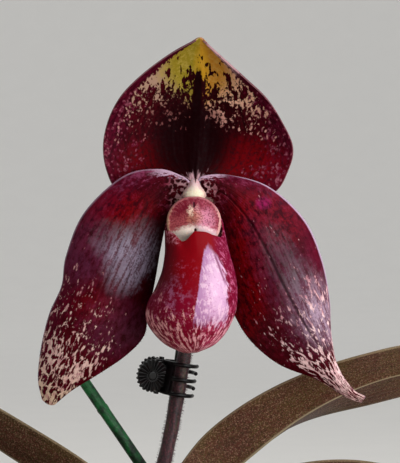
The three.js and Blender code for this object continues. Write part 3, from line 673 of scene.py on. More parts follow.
LOWER_SEPAL = {
    "left": [
        [-2.6, 4.3, -5.5], [-6.2, 5.4, -12], [-7.6, 6.2, -20], [-7.6, 6, -29], [-5.6, 5, -37],
        [-1.8, 3.8, -43.2],
    ],
    "middle": [
        [0, 4.3, -5.5], [-0.1, 6.6, -12], [-0.3, 8, -20], [-0.6, 8, -29.5], [-0.9, 6.6, -38], [-1, 4.2, -44],
    ],
    "right": [
        [2.6, 4.3, -5.5], [6, 5.4, -12], [7.2, 6.2, -20], [6.8, 6, -29], [4.4, 5, -37], [-0.2, 3.8, -43.2],
    ],
}


def dorsal_wave(s, t):
    crease = np.exp(-((s / 0.09) ** 2)) * np.sin(np.pi * np.clip(t, 0, 1)) ** 0.5
    return 0.5 * s**4 * np.sin(19 * t + 2 * s) - 0.8 * crease


def left_wave(s, t):
    return 0.8 * s**4 * np.sin(17 * t + 1.5 + s) * np.sin(np.pi * t)


def right_wave(s, t):
    return 0.7 * s**4 * np.sin(15 * t + 0.4 - s) * np.sin(np.pi * t)


def tepal(lines, wave=None):
    """A surface that bends through its left margin, middle vein and right margin."""
    low, centre, high = (curve(lines[key]) for key in ("left", "middle", "right"))

    def at(s, t):
        a, m, b = low(t), centre(t), high(t)
        across = s[..., None]
        point = m + (b - a) * across / 2 + ((a + b) / 2 - m) * across**2
        if wave:
            point[..., 1] += wave(s, t)
        return point + FLOWER

    return at


def petal_thickness(s, t):
    inside = 1 - np.abs(s) ** 3
    return MARGIN_THICKNESS + (PETAL_THICKNESS - MARGIN_THICKNESS) * inside * np.minimum(1, 6 * (1 - t))


def veined(height, count, seed, mid=2.2):
    """Relief of the veins: a groove at the middle vein and finer, unequal lines beside it."""
    random = np.random.default_rng(seed)
    shift = random.uniform(0, 2 * np.pi, 3)

    def relief(s, t):
        fade = eased(t, 0, 0.08) * eased(1 - t, 0, 0.05) * eased(1 - np.abs(s), 0, 0.1)
        bend = 0.05 * np.sin(5 * t + shift[0])
        lines = np.abs(np.sin(np.pi * count * (s + bend) / 2)) ** 0.6
        fine = 0.35 * np.sin(np.pi * count * 1.9 * s + shift[1] + 4 * t)
        groove = mid * np.exp(-((s / 0.035) ** 2))
        wide = 0.9 * np.sin(3.1 * s + 7 * t + shift[2]) * np.sin(9 * t + 2 * s)
        return height * fade * (lines + fine - groove + wide)

    return relief


def margin_hairs(at, seed, count, length):
    """Short hairs along both margins of a petal."""
    random = np.random.default_rng(seed)
    roots, ways = [], []
    for side in (-1, 1):
        t = np.sort(random.uniform(*HAIRY_SPAN, count))
        s = np.full(count, side)
        edge, inside = at(s, t), at(s * 0.97, t)
        roots.append(edge)
        ways.append(unit(edge - inside) + random.normal(scale=0.25, size=(count, 3)))
    return hairs(np.vstack(roots), np.vstack(ways), length, 0.05, seed)


# ---- the flower's finishes
def flower_colours():
    return bpy.context.scene.orchid_flower


def vein_bump(f, s, t, width, depth=0.05):
    """Fine lines along the veins and the small cells of the skin, as a bump."""
    lines = f.noise(f.vector(s * width * 1.6, t * 9), 1, 3, 0.6)
    grain = f.noise(f.spot(), 2.6, 2, 0.6)
    return f.bump(lines * 0.7 + grain * 0.3, depth)


def net_of(f, across, along, density, cell, seed, soft=0.2, bend=1.7):
    """A pale net round dark oval cells that run along the veins, thick and thin. Density -0.5 leaves none
    of it, 0 some streaks, 0.4 a net, and near 1 the cells shrink to dots."""
    across, along = across / cell[0] + seed, along / cell[1] + seed * 0.37
    where = f.vector(across, along)
    sway = f.noise(where, 0.9, 3, 0.6)
    swing = f.noise(f.vector(along, across), 0.9, 3, 0.6)
    edge = f.cells(f.vector(across + sway * bend, along + swing * bend))
    drift = f.noise(where, 0.35, 2, 0.55)
    grain = f.noise(where, 1.6, 3, 0.62)
    field = density + (drift - 0.5) * 1.3 + (grain - 0.5) * 2.1 - edge * 1.8
    return f.step(field, -0.05, soft)


def blots_of(f, across, along, share, cell, seed):
    """Soft round blots of many sizes. A share of 0 leaves none of them, and at 1 they nearly touch."""
    where = f.vector(across / cell[0] + seed, along / cell[1])
    sway = f.noise(where, 1.3, 3, 0.6)
    middle = f.cells(f.vector(across / cell[0] + seed + sway, along / cell[1] + sway), 1, "F1")
    drift = f.noise(where, 0.45, 2, 0.5)
    return f.step(middle - (drift - 0.5) * 1.4 - (sway - 0.5) * 0.6 - share * 0.6, 0.1, -0.16)


def dorsal_finish():
    """Wine with a black centre, partly pigment and partly painted shade, red low sides, a yellow tip, and a
    broken cream net along the veins.
    """
    c = flower_colours()
    f = Finish("dorsal_sepal_skin", FLOWER)
    s, t, side = f.marks()
    x, _, z = f.parts(f.spot())
    away = abs(s)
    cloud = f.grain(0.14, 3)
    fine = f.grain(0.9, 3, 0.65)
    streak = f.noise(f.vector(s * 24, t * 2.6), 1, 3, 0.6)
    mottle = f.noise(f.vector(s * 28, t * 34), 1, 4, 0.65)
    f.skin = f.mix(f.step(away + (cloud - 0.5) * 0.5, 0.6, 1) * 0.45, c.wine, c.magenta)
    f.paint(f.step(away, 0.7, 0.3) * f.step(t, 0.34, 0.5) * 0.6, c.deep_wine)
    f.paint(f.step(mottle, 0.42, 0.6) * 0.6, c.deep_wine)
    for middle, reach, strength in (((16.5, 7.5), (12, 8), 0.65), ((-13, 6.5), (10, 8), 0.45)):
        f.paint(f.round_patch(x, z, middle, reach, 0.9) * f.step(fine, 0.72, 0.4) * strength, c.red)
    f.paint(f.step(streak, 0.5, 0.68) * 0.4, c.deep_wine)
    # the black centre: partly pigment, partly painted shade
    f.paint(f.round_patch(x, z, (-0.5, 14), (12, 12), 0.75) * 0.96, c.deep_wine)
    # soft pink mottles on the flanks
    flank = f.step(away + (cloud - 0.5) * 0.5, 0.42, 0.8) * f.step(t, 0.05, 0.14) * f.step(t, 0.84, 0.66)
    mottles = blots_of(f, x, z, flank * 1.05 - 0.6, (1.4, 1.7), 9.2)
    f.paint(mottles * 0.7, f.mix(f.step(fine, 0.42, 0.66), rgb(92, 14, 40), rgb(160, 88, 104)))
    # cream net, thick below the yellow tip and broken into spots lower down
    flames = f.noise(f.vector(s * 9, t * 2.2), 1, 2)
    top = f.step(t + (flames - 0.5) * 0.34, 0.7, 0.78) * f.step(away, 0.9, 0.6)
    upper = f.step(t + (cloud - 0.5) * 0.16, 0.34, 0.48) * f.step(away, 0.97, 0.85)
    spread = (f.step(t, 0.46, 0.66) * 0.3 + f.step(t, 0.64, 0.74) * 0.25 + 0.7) * upper + top * 1.6 - 0.85
    stripe = f.step(abs(s + 0.015), 0.065, 0.03) * f.step(t, 0.82, 0.74)
    spread = spread + f.step(s, -0.1, 0.4) * 0.14 - 0.06 - stripe * 2
    spots = net_of(f, x, z, spread, (1.45, 1.8), 3.1, 0.3, 1.3)
    drops = blots_of(
        f, x, z, (f.step(s, -0.3, 0.3) * 0.06 + 0.9) * upper - 0.6 - stripe * 2, (1.45, 1.9), 6.4
    )
    spots = f.most(spots, drops * 0.85)
    tears = f.noise(f.vector(x * 0.5 + 4, z * 0.22), 1, 3, 0.55)
    lower_tip = f.step(t + (away - 0.2) * 0.25, 0.93, 0.8)
    spots = spots * (1 - f.step(tears + lower_tip * 0.06, 0.59, 0.62) * f.step(t, 0.94, 0.86))
    tip = f.mix(f.step(s, -0.01, 0.015), c.yellow_green, c.orange_yellow)
    tip = f.mix(f.step(fine, 0.4, 0.7) * 0.35, tip, rgb(200, 172, 92))
    tip = f.mix(f.round_patch(x, z, (2.6, 37), (2.2, 6), 0.8) * 0.6, tip, rgb(206, 158, 30))
    dull = f.mix(f.step(s, -0.35, 0.35), rgb(168, 134, 114), rgb(222, 172, 144))
    dull = f.mix(f.step(t, 0.66, 0.5) * 0.5, dull, rgb(190, 122, 128))
    dull = f.mix(f.step(t + (fine - 0.5) * 0.2, 0.5, 0.38) * 0.75, dull, rgb(128, 38, 62))
    dull = f.mix(f.round_patch(x, z, (-4, 21), (12, 6), 0.6) * 0.7, dull, rgb(84, 10, 26))
    pale = f.mix(f.step(t + (0.5 - away) * 0.3 + (fine - 0.5) * 0.15, 0.64, 0.78), dull, tip)
    f.paint(spots, pale)
    f.paint(stripe * 0.9, c.deep_wine)
    # pale rays that fan out from the column, parted by a dark wedge
    ray_turn = f.math("ARCTAN2", x - 0.75, z - 0.6)
    ray_reach = f.math("SQRT", (x - 0.75) * (x - 0.75) + (z - 0.6) * (z - 0.6))
    rays = f.noise(f.vector(ray_turn * 4, ray_reach * 0.2), 1, 3, 0.6)
    flame = f.step(ray_reach - (rays - 0.5) * 11, 5.6, 3) * f.step(abs(ray_turn), 0.07, 0.17)
    f.paint(flame * 0.9, rgb(206, 160, 170))
    rim = f.step(side, 0.9, 0.1) * f.step(side, -0.9, -0.1)
    rolled = f.step(s + (fine - 0.5) * 0.6, 0.84, 0.96) * f.step(t + (fine - 0.5) * 0.16, 0.78, 0.84)
    front = f.mix(rolled * 0.8 + rim * 0.35, f.skin, rgb(196, 152, 158))
    # the back shows the pattern faintly through a duller, greener skin
    dull_back = f.mix(f.step(away, 0.1, 0.7), rgb(78, 72, 36), rgb(84, 26, 40))
    behind = f.mix(f.step(streak, 0.45, 0.6) * 0.5 + 0.3, front, dull_back)
    f.skin = f.mix(f.step(side, -0.2, 0.2), behind, front)
    return f.surface(
        Roughness=0.4 + fine * 0.2, Normal=vein_bump(f, s, t, 29), Specular_IOR_Level=0.02,
        Coat_Weight=f.step(fine, 0.45, 0.7) * 0.06, Coat_Roughness=0.35,
    )


def petal_finish(name, outer, plan):
    """Wine petals: a cream net that thickens to the tip, dark dots on pale near the column, a painted lilac
    sheen on the shoulder and a painted grey sheen with dark cracks. outer is the sign of s on the upper,
    outer margin."""
    c = flower_colours()
    f = Finish(name, FLOWER)
    s, t, side = f.marks()
    x, _, z = f.parts(f.spot())
    out = s * outer
    turn, tilt = plan["way"]
    across, along = x * turn + z * tilt, x * tilt - z * turn
    cloud = f.grain(0.1, 3)
    fine = f.grain(0.5, 3, 0.65)
    crackle = f.grain(1.5, 3, 0.75)
    blotch = f.noise(f.vector(across * 0.7, along * 0.4), 1, 4, 0.7)
    streak = f.noise(f.vector(s * 24, t * 3.6), 1, 3, 0.62)
    f.skin = f.mix(f.step(cloud + fine * 0.3, 0.6, 0.84) * plan["flush"], c.wine, c.red)
    for middle, reach, strength in plan["glows"]:
        glow = f.round_patch(x, z, middle, reach, 0.9) * f.step(blotch + (cloud - 0.5) * 0.5, 0.36, 0.56)
        f.paint(glow * strength, c.red)
    f.paint(f.step(out + (cloud - 0.5) * 0.7, 0.3, 0.98) * 0.45, c.magenta)
    f.paint(f.step(streak, 0.5, 0.7) * 0.4, c.deep_wine)
    f.paint(f.step(blotch, 0.5, 0.34) * 0.45, c.deep_wine)
    f.paint(f.step(blotch + (crackle - 0.5) * 0.6, 0.54, 0.72) * 0.4, rgb(124, 32, 60))
    f.paint(f.step(out, -0.3, -0.95) * plan["inner_shade"] * f.step(t, 0.8, 0.5), c.deep_wine)
    # painted sheen: a purple veil, and on it a grey sheen crossed by dark cracks along the veins
    for middle, reach, strength in plan["veils"]:
        veil = (
            f.round_patch(across + (fine - 0.5) * 8, along, middle, reach, 0.9) * f.step(blotch, 0.3, 0.6)
        )
        f.paint(veil * strength, rgb(88, 40, 66))
    hatch = f.noise(f.vector(across * 1.1, along * 0.12), 1, 3, 0.65)
    painted_sheen_and_coat = 0
    for middle, reach, strength in plan["sheen"]:
        painted_sheen_and_coat = f.round_patch(across + (fine - 0.5) * 7, along, middle, reach, 0.9) * strength + painted_sheen_and_coat
    painted_sheen_and_coat = painted_sheen_and_coat * (f.step(crackle * 0.6 + hatch, 0.66, 0.9) * 0.8 + 0.2)
    grey = f.mix(f.step(along + across * 0.6, *plan["sheen_turn"]), rgb(104, 92, 100), plan["sheen_colour"])
    f.paint(painted_sheen_and_coat, grey)
    # cream net towards the tip
    spread = f.step(t, *plan["net_start"]) * plan["net_some"]
    spread = spread + f.step(t, *plan["net_full"]) * plan["net_most"] - 0.62
    spread = spread - f.step(x * outer, *plan["net_side"]) * 0.6
    spread = spread - f.step(out, -0.6, -0.9) * f.step(t, 0.95, 0.85) * 0.4
    veins = (s * 7, t * 77) if plan["converge"] else (across, along)
    tip_net = net_of(f, *veins, spread, plan["cell"], 5.3 + outer, 0.24, plan["bend"])
    drops = blots_of(f, across, along, spread * 0.6 + plan["drops"], (1.1, 2.8), 2.7 + outer)
    lines = f.noise(f.vector(s * 9, t * 6), 1, 2, 0.5)
    tip_net = (
        f.most(tip_net, drops) * (1 - f.step(lines, 0.46, 0.54) * f.step(t, 0.84, 0.92) * plan["tail_fade"])
    )
    pale = f.mix(f.step(t, 0.8, 0.97) * plan["tip_yellow"], plan["pale"], rgb(212, 192, 150))
    pale = f.mix(f.step(fine, 0.56, 0.38) * 0.5, pale, rgb(170, 96, 112))
    pale = f.mix(f.step(t + (fine - 0.5) * 0.2, 0.66, 0.5) * 0.6, pale, rgb(150, 58, 84))
    f.paint(tip_net * 0.95, pale)
    # dark red dots in a pale net near the column
    span = f.math("SQRT", x * x + (z + 1) * (z + 1))
    near = f.step(span, 17, 4.5)
    dusk = f.step(f.grain(0.35, 2), 0.42, 0.56) * near
    f.paint(dusk * 0.75, c.deep_wine)
    dots = blots_of(f, x, z, f.step(span, 4, 12) * 0.3 + 0.85, (1.25, 1.35), 8.4 + outer)
    weave = (1 - dots) * f.step(span + (fine - 0.5) * 12 + (crackle - 0.5) * 14, 12.5, 6)
    f.paint(weave * 0.75, f.mix(f.step(span, 3.5, 9), rgb(196, 150, 156), rgb(124, 40, 62)))
    skirt = f.round_patch(x + (crackle - 0.5) * 5, z, (0.4, -3.4), (4.8, 1.5), 0.6)
    f.paint(skirt * 0.85, rgb(216, 186, 170))
    vein = f.step(abs(s - 0.02), 0.04, 0.01) * f.step(t, 0.08, 0.3) * f.step(t, 0.72, 0.6)
    f.paint(vein * plan["vein"], c.deep_wine)
    # lilac shoulder, a painted sheen from the light above, and a mottled pink below it
    ragged = f.noise(f.vector(s * 9, t * 40), 1, 3, 0.65)
    below = f.step(out + (ragged - 0.5) * 1.8 + (crackle - 0.5) * 0.8, 0.72, 1.1) * f.step(t, 0.4, 0.2)
    f.paint(below * plan["below"], rgb(156, 74, 112))
    # painted highlight: small magenta spots on the right petal's shoulder
    for middle, reach, strength in plan["marks"]:
        mark = f.round_patch(x + (crackle - 0.5) * 3, z, middle, reach, 1) * f.step(blotch, 0.3, 0.6)
        f.paint(mark * strength, rgb(150, 24, 92))
    # painted highlight: the lilac sheen along the shoulder
    bloom_and_sheen = f.step(out + (ragged - 0.5) * 1.1 + (crackle - 0.5) * 0.4, 0.68, 0.86)
    bloom_and_sheen = bloom_and_sheen * f.step(t + (ragged - 0.5) * 0.12, *plan["shoulder_sheen_end"])
    f.paint(bloom_and_sheen * 0.9, c.lilac)
    # painted rim highlight: a pale lilac line on the margins, strongest along the outer margin
    rim = f.most(
        f.step(side, 0.9, 0.1) * f.step(side, -0.9, -0.1), f.step(out, 0.955, 0.985) * f.step(t, 0.1, 0.3)
    )
    front = f.mix(rim * (0.2 + f.step(out, 0, 0.8) * plan["rim"]), f.skin, rgb(190, 164, 190))
    behind = f.mix(0.45, front, rgb(84, 26, 36))
    f.skin = f.mix(f.step(side, -0.2, 0.2), behind, front)
    return f.surface(
        Roughness=0.34 + streak * 0.16, Normal=vein_bump(f, s, t, 13.5, 0.07),
        Specular_IOR_Level=0.02, Coat_Weight=0.02 + painted_sheen_and_coat * 0.2, Coat_Roughness=0.3,
    )


def lower_sepal_finish():
    """Greenish with wine veins, as the lower sepal hides behind the pouch."""
    c = flower_colours()
    f = Finish("lower_sepal_skin", FLOWER)
    s, t, _ = f.marks()
    line = f.noise(f.vector(s * 8, t * 2), 1, 2)
    f.skin = f.mix(f.step(t, 0.3, 1), rgb(116, 96, 52), c.wine)
    f.paint(f.step(line, 0.48, 0.6), c.magenta)
    net = net_of(f, s * 7, t * 40, 0.3, (1.3, 2.2), 1.7)
    f.paint(net * 0.6, c.cream)
    return f.surface(Roughness=0.5 + line * 0.1, Normal=vein_bump(f, s, t, 7), Specular_IOR_Level=0.35)


def hair_finish():
    f = Finish("plant_hair")
    shade = f.grain(0.3)
    f.skin = f.mix(shade, rgb(44, 8, 22), rgb(96, 44, 58))
    return f.surface(Roughness=0.4 + shade * 0.2)


# How the markings of the two petals differ. Starts and ends are shares of the way from base to tip.
LEFT_PLAN = {
    "way": (0.91, -0.41), "flush": 0.2, "inner_shade": 0.75, "vein": 0.1, "rim": 0.12, "below": 0.5,
    "glows": (((-23, -5), (11, 5), 0.7), ((-34, -12), (6, 6), 0.65), ((-28, -35), (6, 4), 0.25)),
    "veils": (((-22, 30), (8, 10), 0.55), ((-5, 47), (9, 9), 0.35)), "marks": (),
    "sheen": (
        ((-8.6, 25.5), (6.2, 10.5), 0.55), ((-5.5, 26.5), (3.4, 8), 0.25), ((-16, 23.5), (5.5, 5.5), 0.4),
    ),
    "sheen_colour": rgb(142, 132, 152), "sheen_turn": (8, 20),
    "net_start": (0.4, 0.56), "net_some": 0.54, "net_full": (0.58, 0.9), "net_most": 0.42,
    "cell": (1.65, 3.6),
    "bend": 1.6, "converge": False, "net_side": (27, 15), "pale": rgb(212, 178, 168), "tip_yellow": 0.5,
    "shoulder_sheen_end": (0.24, 0.18), "drops": 0.03, "tail_fade": 0,
}
RIGHT_PLAN = {
    "way": (0.93, 0.38), "flush": 0.25, "inner_shade": 0.15, "vein": 0.6, "rim": 0.6, "below": 0.25,
    "glows": (((23, -8), (10, 9), 0.9), ((15.5, -26), (6, 19), 0.95)),
    "veils": (((15, 36), (7, 22), 0.45), ((20, 44), (8, 14), 0.35)),
    "marks": (((21, -4), (2.1, 1.7), 0.6),),
    "sheen": (((16.5, 29), (4.5, 10), 0.3), ((19.5, 45), (7, 12), 0.45), ((21, 50), (3.6, 8), 0.25)),
    "sheen_colour": rgb(176, 150, 172), "sheen_turn": (44, 60),
    "net_start": (0.4, 0.6), "net_some": 0.63, "net_full": (0.62, 0.86), "net_most": 0.45, "cell": (1.2, 4),
    "bend": 1, "converge": True, "net_side": (-60, -61), "pale": rgb(234, 198, 198), "tip_yellow": 0.2,
    "shoulder_sheen_end": (0.2, 0.15), "drops": 0.1, "tail_fade": 0.95,
}


# ---- sepals and petals
def build_sepals():
    settings = flower_colours()
    relief = settings.vein_relief / MM
    at = tepal(DORSAL, dorsal_wave)
    form = blade(
        at, petal_thickness, 132, 120, (0, -1, 0), veined(relief, 22, 4, 3), veined(-relief, 22, 4, 5)
    )
    piece("dorsal_sepal_skin", form, dorsal_finish(), ["dorsal_sepal"])
    at = tepal(LOWER_SEPAL)
    form = blade(at, petal_thickness, 48, 84, (0, -1, 0), veined(relief, 9, 5), veined(-relief, 9, 5, 5))
    piece("lower_sepal_skin", form, lower_sepal_finish(), ["lower_sepal"])


def build_petals():
    settings = flower_colours()
    relief = settings.vein_relief / MM
    hair = []
    for name, lines, wave, outer, seed, plan in (
        ("petal_left", LEFT_PETAL, left_wave, -1, 6, LEFT_PLAN),
        ("petal_right", RIGHT_PETAL, right_wave, 1, 7, RIGHT_PLAN),
    ):
        at = tepal(lines, wave)
        form = blade(
            at, petal_thickness, 112, 160, (0, -1, 0), veined(relief, 17, seed, 3.4),
            veined(-relief, 17, seed, 5)
        )
        piece(name + "_skin", form, petal_finish(name + "_skin", outer, plan), [name])
        hair.append(margin_hairs(at, seed, 260, settings.hair_length / MM * 0.75))
    piece("petal_margin_hairs", Form.together(hair), hair_finish())


# ---- pouch
SACK = {
    "height": level([-14.2, -18.6, -23.8, -29, -33.6, -38, -42.4, -46, -48.4]),
    "middle_x": level([0.5, 1.2, 1.6, 1, -0.2, -1, -1, -0.8, -0.9]),
    "half_width": level([8.9, 9.5, 10.7, 12.1, 13.2, 12.9, 10.6, 6.9, 1.6]),
    "middle_y": level([-7.2, -8.4, -9.8, -10.6, -10.8, -10.6, -9.9, -9.3, -9]),
    "half_depth": level([6.4, 8, 10.4, 12.4, 13.4, 12.8, 10.2, 6.2, 1.6]),
}
SACK_WALL = 0.9
MOUTH_LIFT = level([1.5, 1.2, 0.2, -0.2, 1.6, 5.4, 8.6, 10.2, 10.6, 10.2, 8.6, 5.4, 2.2, 1.6, 0.6, -1.5, 1.5])


def pouch_point(around, down, inset):
    angle = 2 * np.pi * around
    side, front = np.sin(angle), np.cos(angle)
    rise = np.maximum(0, 1 - down * 5)
    lift = MOUTH_LIFT(around) * rise**1.5
    lean = np.maximum(0, lift) * 0.19
    width = (SACK["half_width"](down) - inset) * (1 - 0.35 * rise * np.maximum(0, -front) ** 3)
    return np.stack([
        SACK["middle_x"](down) + side * width,
        SACK["middle_y"](down) - front * (SACK["half_depth"](down) - inset) + lean,
        SACK["height"](down) + lift + inset * down,
    ], axis=-1) + FLOWER


def pouch_form(around_count, down_count):
    """The sack as one sheet that runs up the outside, over the round mouth edge and down the inside.
    Marks: the turn round the sack, the way down it, and 1 outside, 0 on the edge, -1 inside."""
    around = np.linspace(0, 1, around_count, endpoint=False)
    downs = 0.985 * (1 - np.linspace(0, 1, down_count) ** 0.8)
    rows, marks = [], []

    def row(down, inset, wall, rise=0):
        down = np.full(around_count, down)
        rows.append(pouch_point(around, down, inset) + [0, 0, rise])
        marks.append(np.column_stack([around, down, np.full(around_count, wall)]))

    for down in downs:
        row(down, 0, 1)
    for turn in np.linspace(0, np.pi, 7)[1:-1]:
        row(0, SACK_WALL / 2 * (1 - math.cos(turn)), math.cos(turn), SACK_WALL / 2 * math.sin(turn))
    for down in downs[::-1]:
        row(down, SACK_WALL, -1)
    return rings(np.array(rows), np.array(marks))


def pouch_finish():
    """Glossy red above, a long pale lilac flame on the right that is pale tissue under a painted highlight,
    mottled sides and pale streaks at the toe.
    """
    f = Finish("pouch_skin", FLOWER)
    _, down, wall = f.marks()
    x, y, z = f.parts(f.spot())
    cloud = f.grain(0.16, 3)
    fine = f.grain(0.9, 3, 0.65)
    crackle = f.grain(1.6, 3, 0.7)
    blotch = f.grain(0.6, 3, 0.65)
    span = f.math("SQRT", x * x + (y + 10) * (y + 10))
    sine, cosine = x / span, (y + 10) / span
    streak = f.noise(f.vector(sine * 4.2, cosine * 4.2, z * 0.13), 1, 3, 0.6)
    fibre = f.noise(f.vector(sine * 13, cosine * 13, z * 0.42), 1, 3, 0.6)
    f.skin = f.mix(f.step(x + (cloud - 0.5) * 6, -10, -1), rgb(72, 2, 14), rgb(126, 0, 12))
    f.paint(f.step(x + (cloud - 0.5) * 3, 4.5, 8), rgb(112, 6, 42))
    f.paint(f.step(z + (cloud - 0.5) * 8, -25, -33) * 0.7, rgb(112, 6, 38))
    flecks = f.step(blotch * 0.5 + crackle * 0.5 + (fibre - 0.5) * 0.3, 0.49, 0.62)
    low = f.step(z + (cloud - 0.5) * 12, -26, -36)
    f.paint(flecks * f.most(low * 0.4, f.step(x, 5.5, 9) * 0.7), rgb(196, 100, 138))
    dusk = (
        f.round_patch(x, z, (-4.6, -31), (3.6, 5), 1) * f.step(blotch + (crackle - 0.5) * 0.4, 0.42, 0.64)
    )
    f.paint(dusk * 0.7, rgb(142, 80, 112))
    haze = f.round_patch(x, z, (-3, -23.5), (4, 3), 1) * f.step(crackle * 0.5 + blotch * 0.5, 0.52, 0.66)
    f.paint(haze * 0.6, rgb(176, 80, 112))
    lobe = f.step(z + x * 0.3, -18.5, -17) * f.step(x, -3, -5) * f.step(crackle + fine * 0.4, 0.66, 0.86)
    f.paint(lobe * 0.65, rgb(190, 120, 136))
    # streaks round the toe, on a pinker ground to the right
    toe = f.step(down + (cloud - 0.5) * 0.3, 0.46, 0.7)
    f.paint(toe * f.step(x, 1, 5) * f.step(blotch, 0.35, 0.6) * 0.65, rgb(180, 44, 88))
    ends = toe + f.step(x, -6, -10) * f.step(z, -24, -30) * 0.3
    streaks = fibre * 0.8 + blotch * 0.2 + ends * 0.06 + (streak - 0.5) * 0.3
    streaks = f.step(streaks, 0.56, 0.65) * f.step(ends, 0, 0.5)
    cream = f.mix(
        f.step(fine, 0.55, 0.35) * 0.5, f.mix(f.step(x, -3, 5), rgb(216, 160, 158), rgb(238, 174, 186)),
        rgb(188, 76, 104)
    )
    f.paint(streaks * 0.85, cream)
    # the long pale flame, pale tissue under a painted highlight, straight on its left and ragged below
    left = x - 3 - (z + 19.2) * 0.15 + (streak - 0.5) * 0.8 + (crackle - 0.5) * 0.9
    right = 10.6 - (z + 32) * (z + 32) * 0.016 - x + (fibre - 0.5) * 5
    flame = f.step(left, -0.15, 0.3) * f.step(right, -0.3, 1) * f.step(y, -9, -13)
    flame = flame * f.step(z + (fibre - 0.5) * 4 + abs(x - 4.4) * 1.2, -15.4, -17.4)
    flame = flame * f.step(z + (fibre - 0.5) * 12, -41, -37)
    lilac = f.mix(f.round_patch(x, z, (7, -29), (3.2, 10), 1), rgb(170, 118, 164), rgb(214, 170, 204))
    lilac = f.mix(f.step(fibre + (blotch - 0.5) * 0.5, 0.5, 0.62) * 0.55, lilac, rgb(232, 196, 216))
    lilac = f.mix(f.step(crackle + (streak - 0.5) * 0.5, 0.54, 0.68) * 0.55, lilac, rgb(158, 76, 132))
    lilac = f.mix(f.step(z + (blotch - 0.5) * 6, -19, -16.5) * 0.6, lilac, rgb(150, 92, 140))
    f.paint(flame * 0.92, lilac)
    # painted shade: a dark crease line down the flame
    crease = f.step(abs(x - 6.7 + (z + 20) * 0.37), 0.5, 0.1) * f.step(z, -18, -20)
    f.paint(crease * f.step(z, -28, -26) * 0.75, rgb(110, 20, 70))
    spots = f.cells(f.spot(), 0.72, "F1", flat=False)
    inside = f.mix(f.step(spots + (fine - 0.5) * 0.5, 0.5, 0.66), rgb(74, 6, 22), rgb(186, 122, 120))
    f.paint(f.step(wall, -0.1, -0.7), inside)
    rough = 0.42 - flame * 0.18 + fine * 0.12 + f.step(wall, 0, -0.8) * 0.1
    return f.surface(
        Roughness=rough, Normal=f.bump(crackle * 0.4 + streak * 0.5, 0.06),
        Specular_IOR_Level=0.05, Coat_Weight=0.02 + flame * 0.5, Coat_Roughness=0.22,
    )


def build_pouch():
    form = pouch_form(168, 84)
    swell = ripple(form.points, 6, 21, 2) * 0.06
    middle = FLOWER + [0, -10, 0]
    way = unit((form.points - middle) * [1, 1, 0])
    form.points = form.points + way * swell[:, None]
    piece("pouch_skin", form, pouch_finish(), ["pouch"])


# ---- column and shield
SHIELD = {
    "centre": np.array([0.3, -9.4, -9.3]), "half_width": 7.75, "up": 7.1, "down": 7.3, "dome": 1.5,
    "depth": 1.04
}
COLUMN_PATH = curve(
    [[0.4, -1.5, -0.3], [0.4, -4, 0.2], [0.4, -5.8, -0.6], [0.4, -6.7, -3], [0.4, -7.8, -6.5]]
)
COLUMN_RADIUS = level([2.6, 3.1, 3, 2, 1])


def shield_point(reach, angle, face):
    side, high = np.sin(angle), np.cos(angle)
    notch = 0.46 * np.exp(-(((np.pi - np.abs(angle)) / 0.36) ** 2))
    squareness = np.where(high > 0, 1, 1 + 0.06 * np.sin(2 * angle) ** 2)
    out = reach * squareness * (1 - notch * reach)
    height = np.where(high > 0, SHIELD["up"], SHIELD["down"])
    dome = SHIELD["dome"] * (1 - reach * reach)
    depth = -dome * face
    centre = SHIELD["centre"]
    return np.stack([
        centre[0] + side * SHIELD["half_width"] * out, centre[1] + depth, centre[2] + high * height * out
    ], axis=-1) + FLOWER


def shield_form():
    """Marks: the way out from the middle, the angle as a share of a turn, and 1 in front, -1 behind."""
    angle = np.linspace(-np.pi, np.pi, 120, endpoint=False)
    rows, marks = [], []

    def row(reach, face, back=0, mark=1, grow=0):
        points = shield_point(np.full(angle.shape, reach + grow), angle, face)
        points[:, 1] += back
        rows.append(points)
        marks.append(
            np.column_stack([np.full(angle.shape, reach), angle / (2 * np.pi), np.full(angle.shape, mark)])
        )

    def swelling(side, high, x, z, width, height):
        return np.exp(-(((side - x) / width) ** 2) - (((high - z) / height) ** 2))

    for reach in np.linspace(0.03, 1, 44):
        row(reach, 1)
        shape = rows[-1]
        local = shape - FLOWER - SHIELD["centre"]
        side, high = local[:, 0], local[:, 2]
        rim = 0.12 * np.exp(-(((reach - 0.965) / 0.03) ** 2))
        slit = 0.4 * swelling(side, high, 0, 4.75, 0.32, 0.9)
        boss = (
            0.5 * swelling(side, high, 0.6, 1.5, 1.4, 1.6) + 0.3 * swelling(side, high, -1.6, 3.2, 1, 1.3)
        )
        lobes = 0.5 * (swelling(side, high, -2.4, -3.4, 2.2, 1.5) + swelling(side, high, 4, -2.9, 2.2, 1.5))
        dimple = 0.4 * swelling(side, high, 0.45, -2.7, 0.5, 0.6)
        papillae = 0.03 * np.sin(31 * angle + 9 * reach) * np.sin(reach * 37)
        shape[:, 1] -= rim + boss + lobes + papillae - slit - dimple
    back = SHIELD["depth"]
    row(1, 1, back * 0.35, 0.3, 0.035)
    row(1, 0.3, back * 0.8, -0.3, 0.03)
    for reach in np.linspace(1, 0.03, 14):
        row(reach, 0.3, back, -1)
    return rings(np.array(rows), np.array(marks))


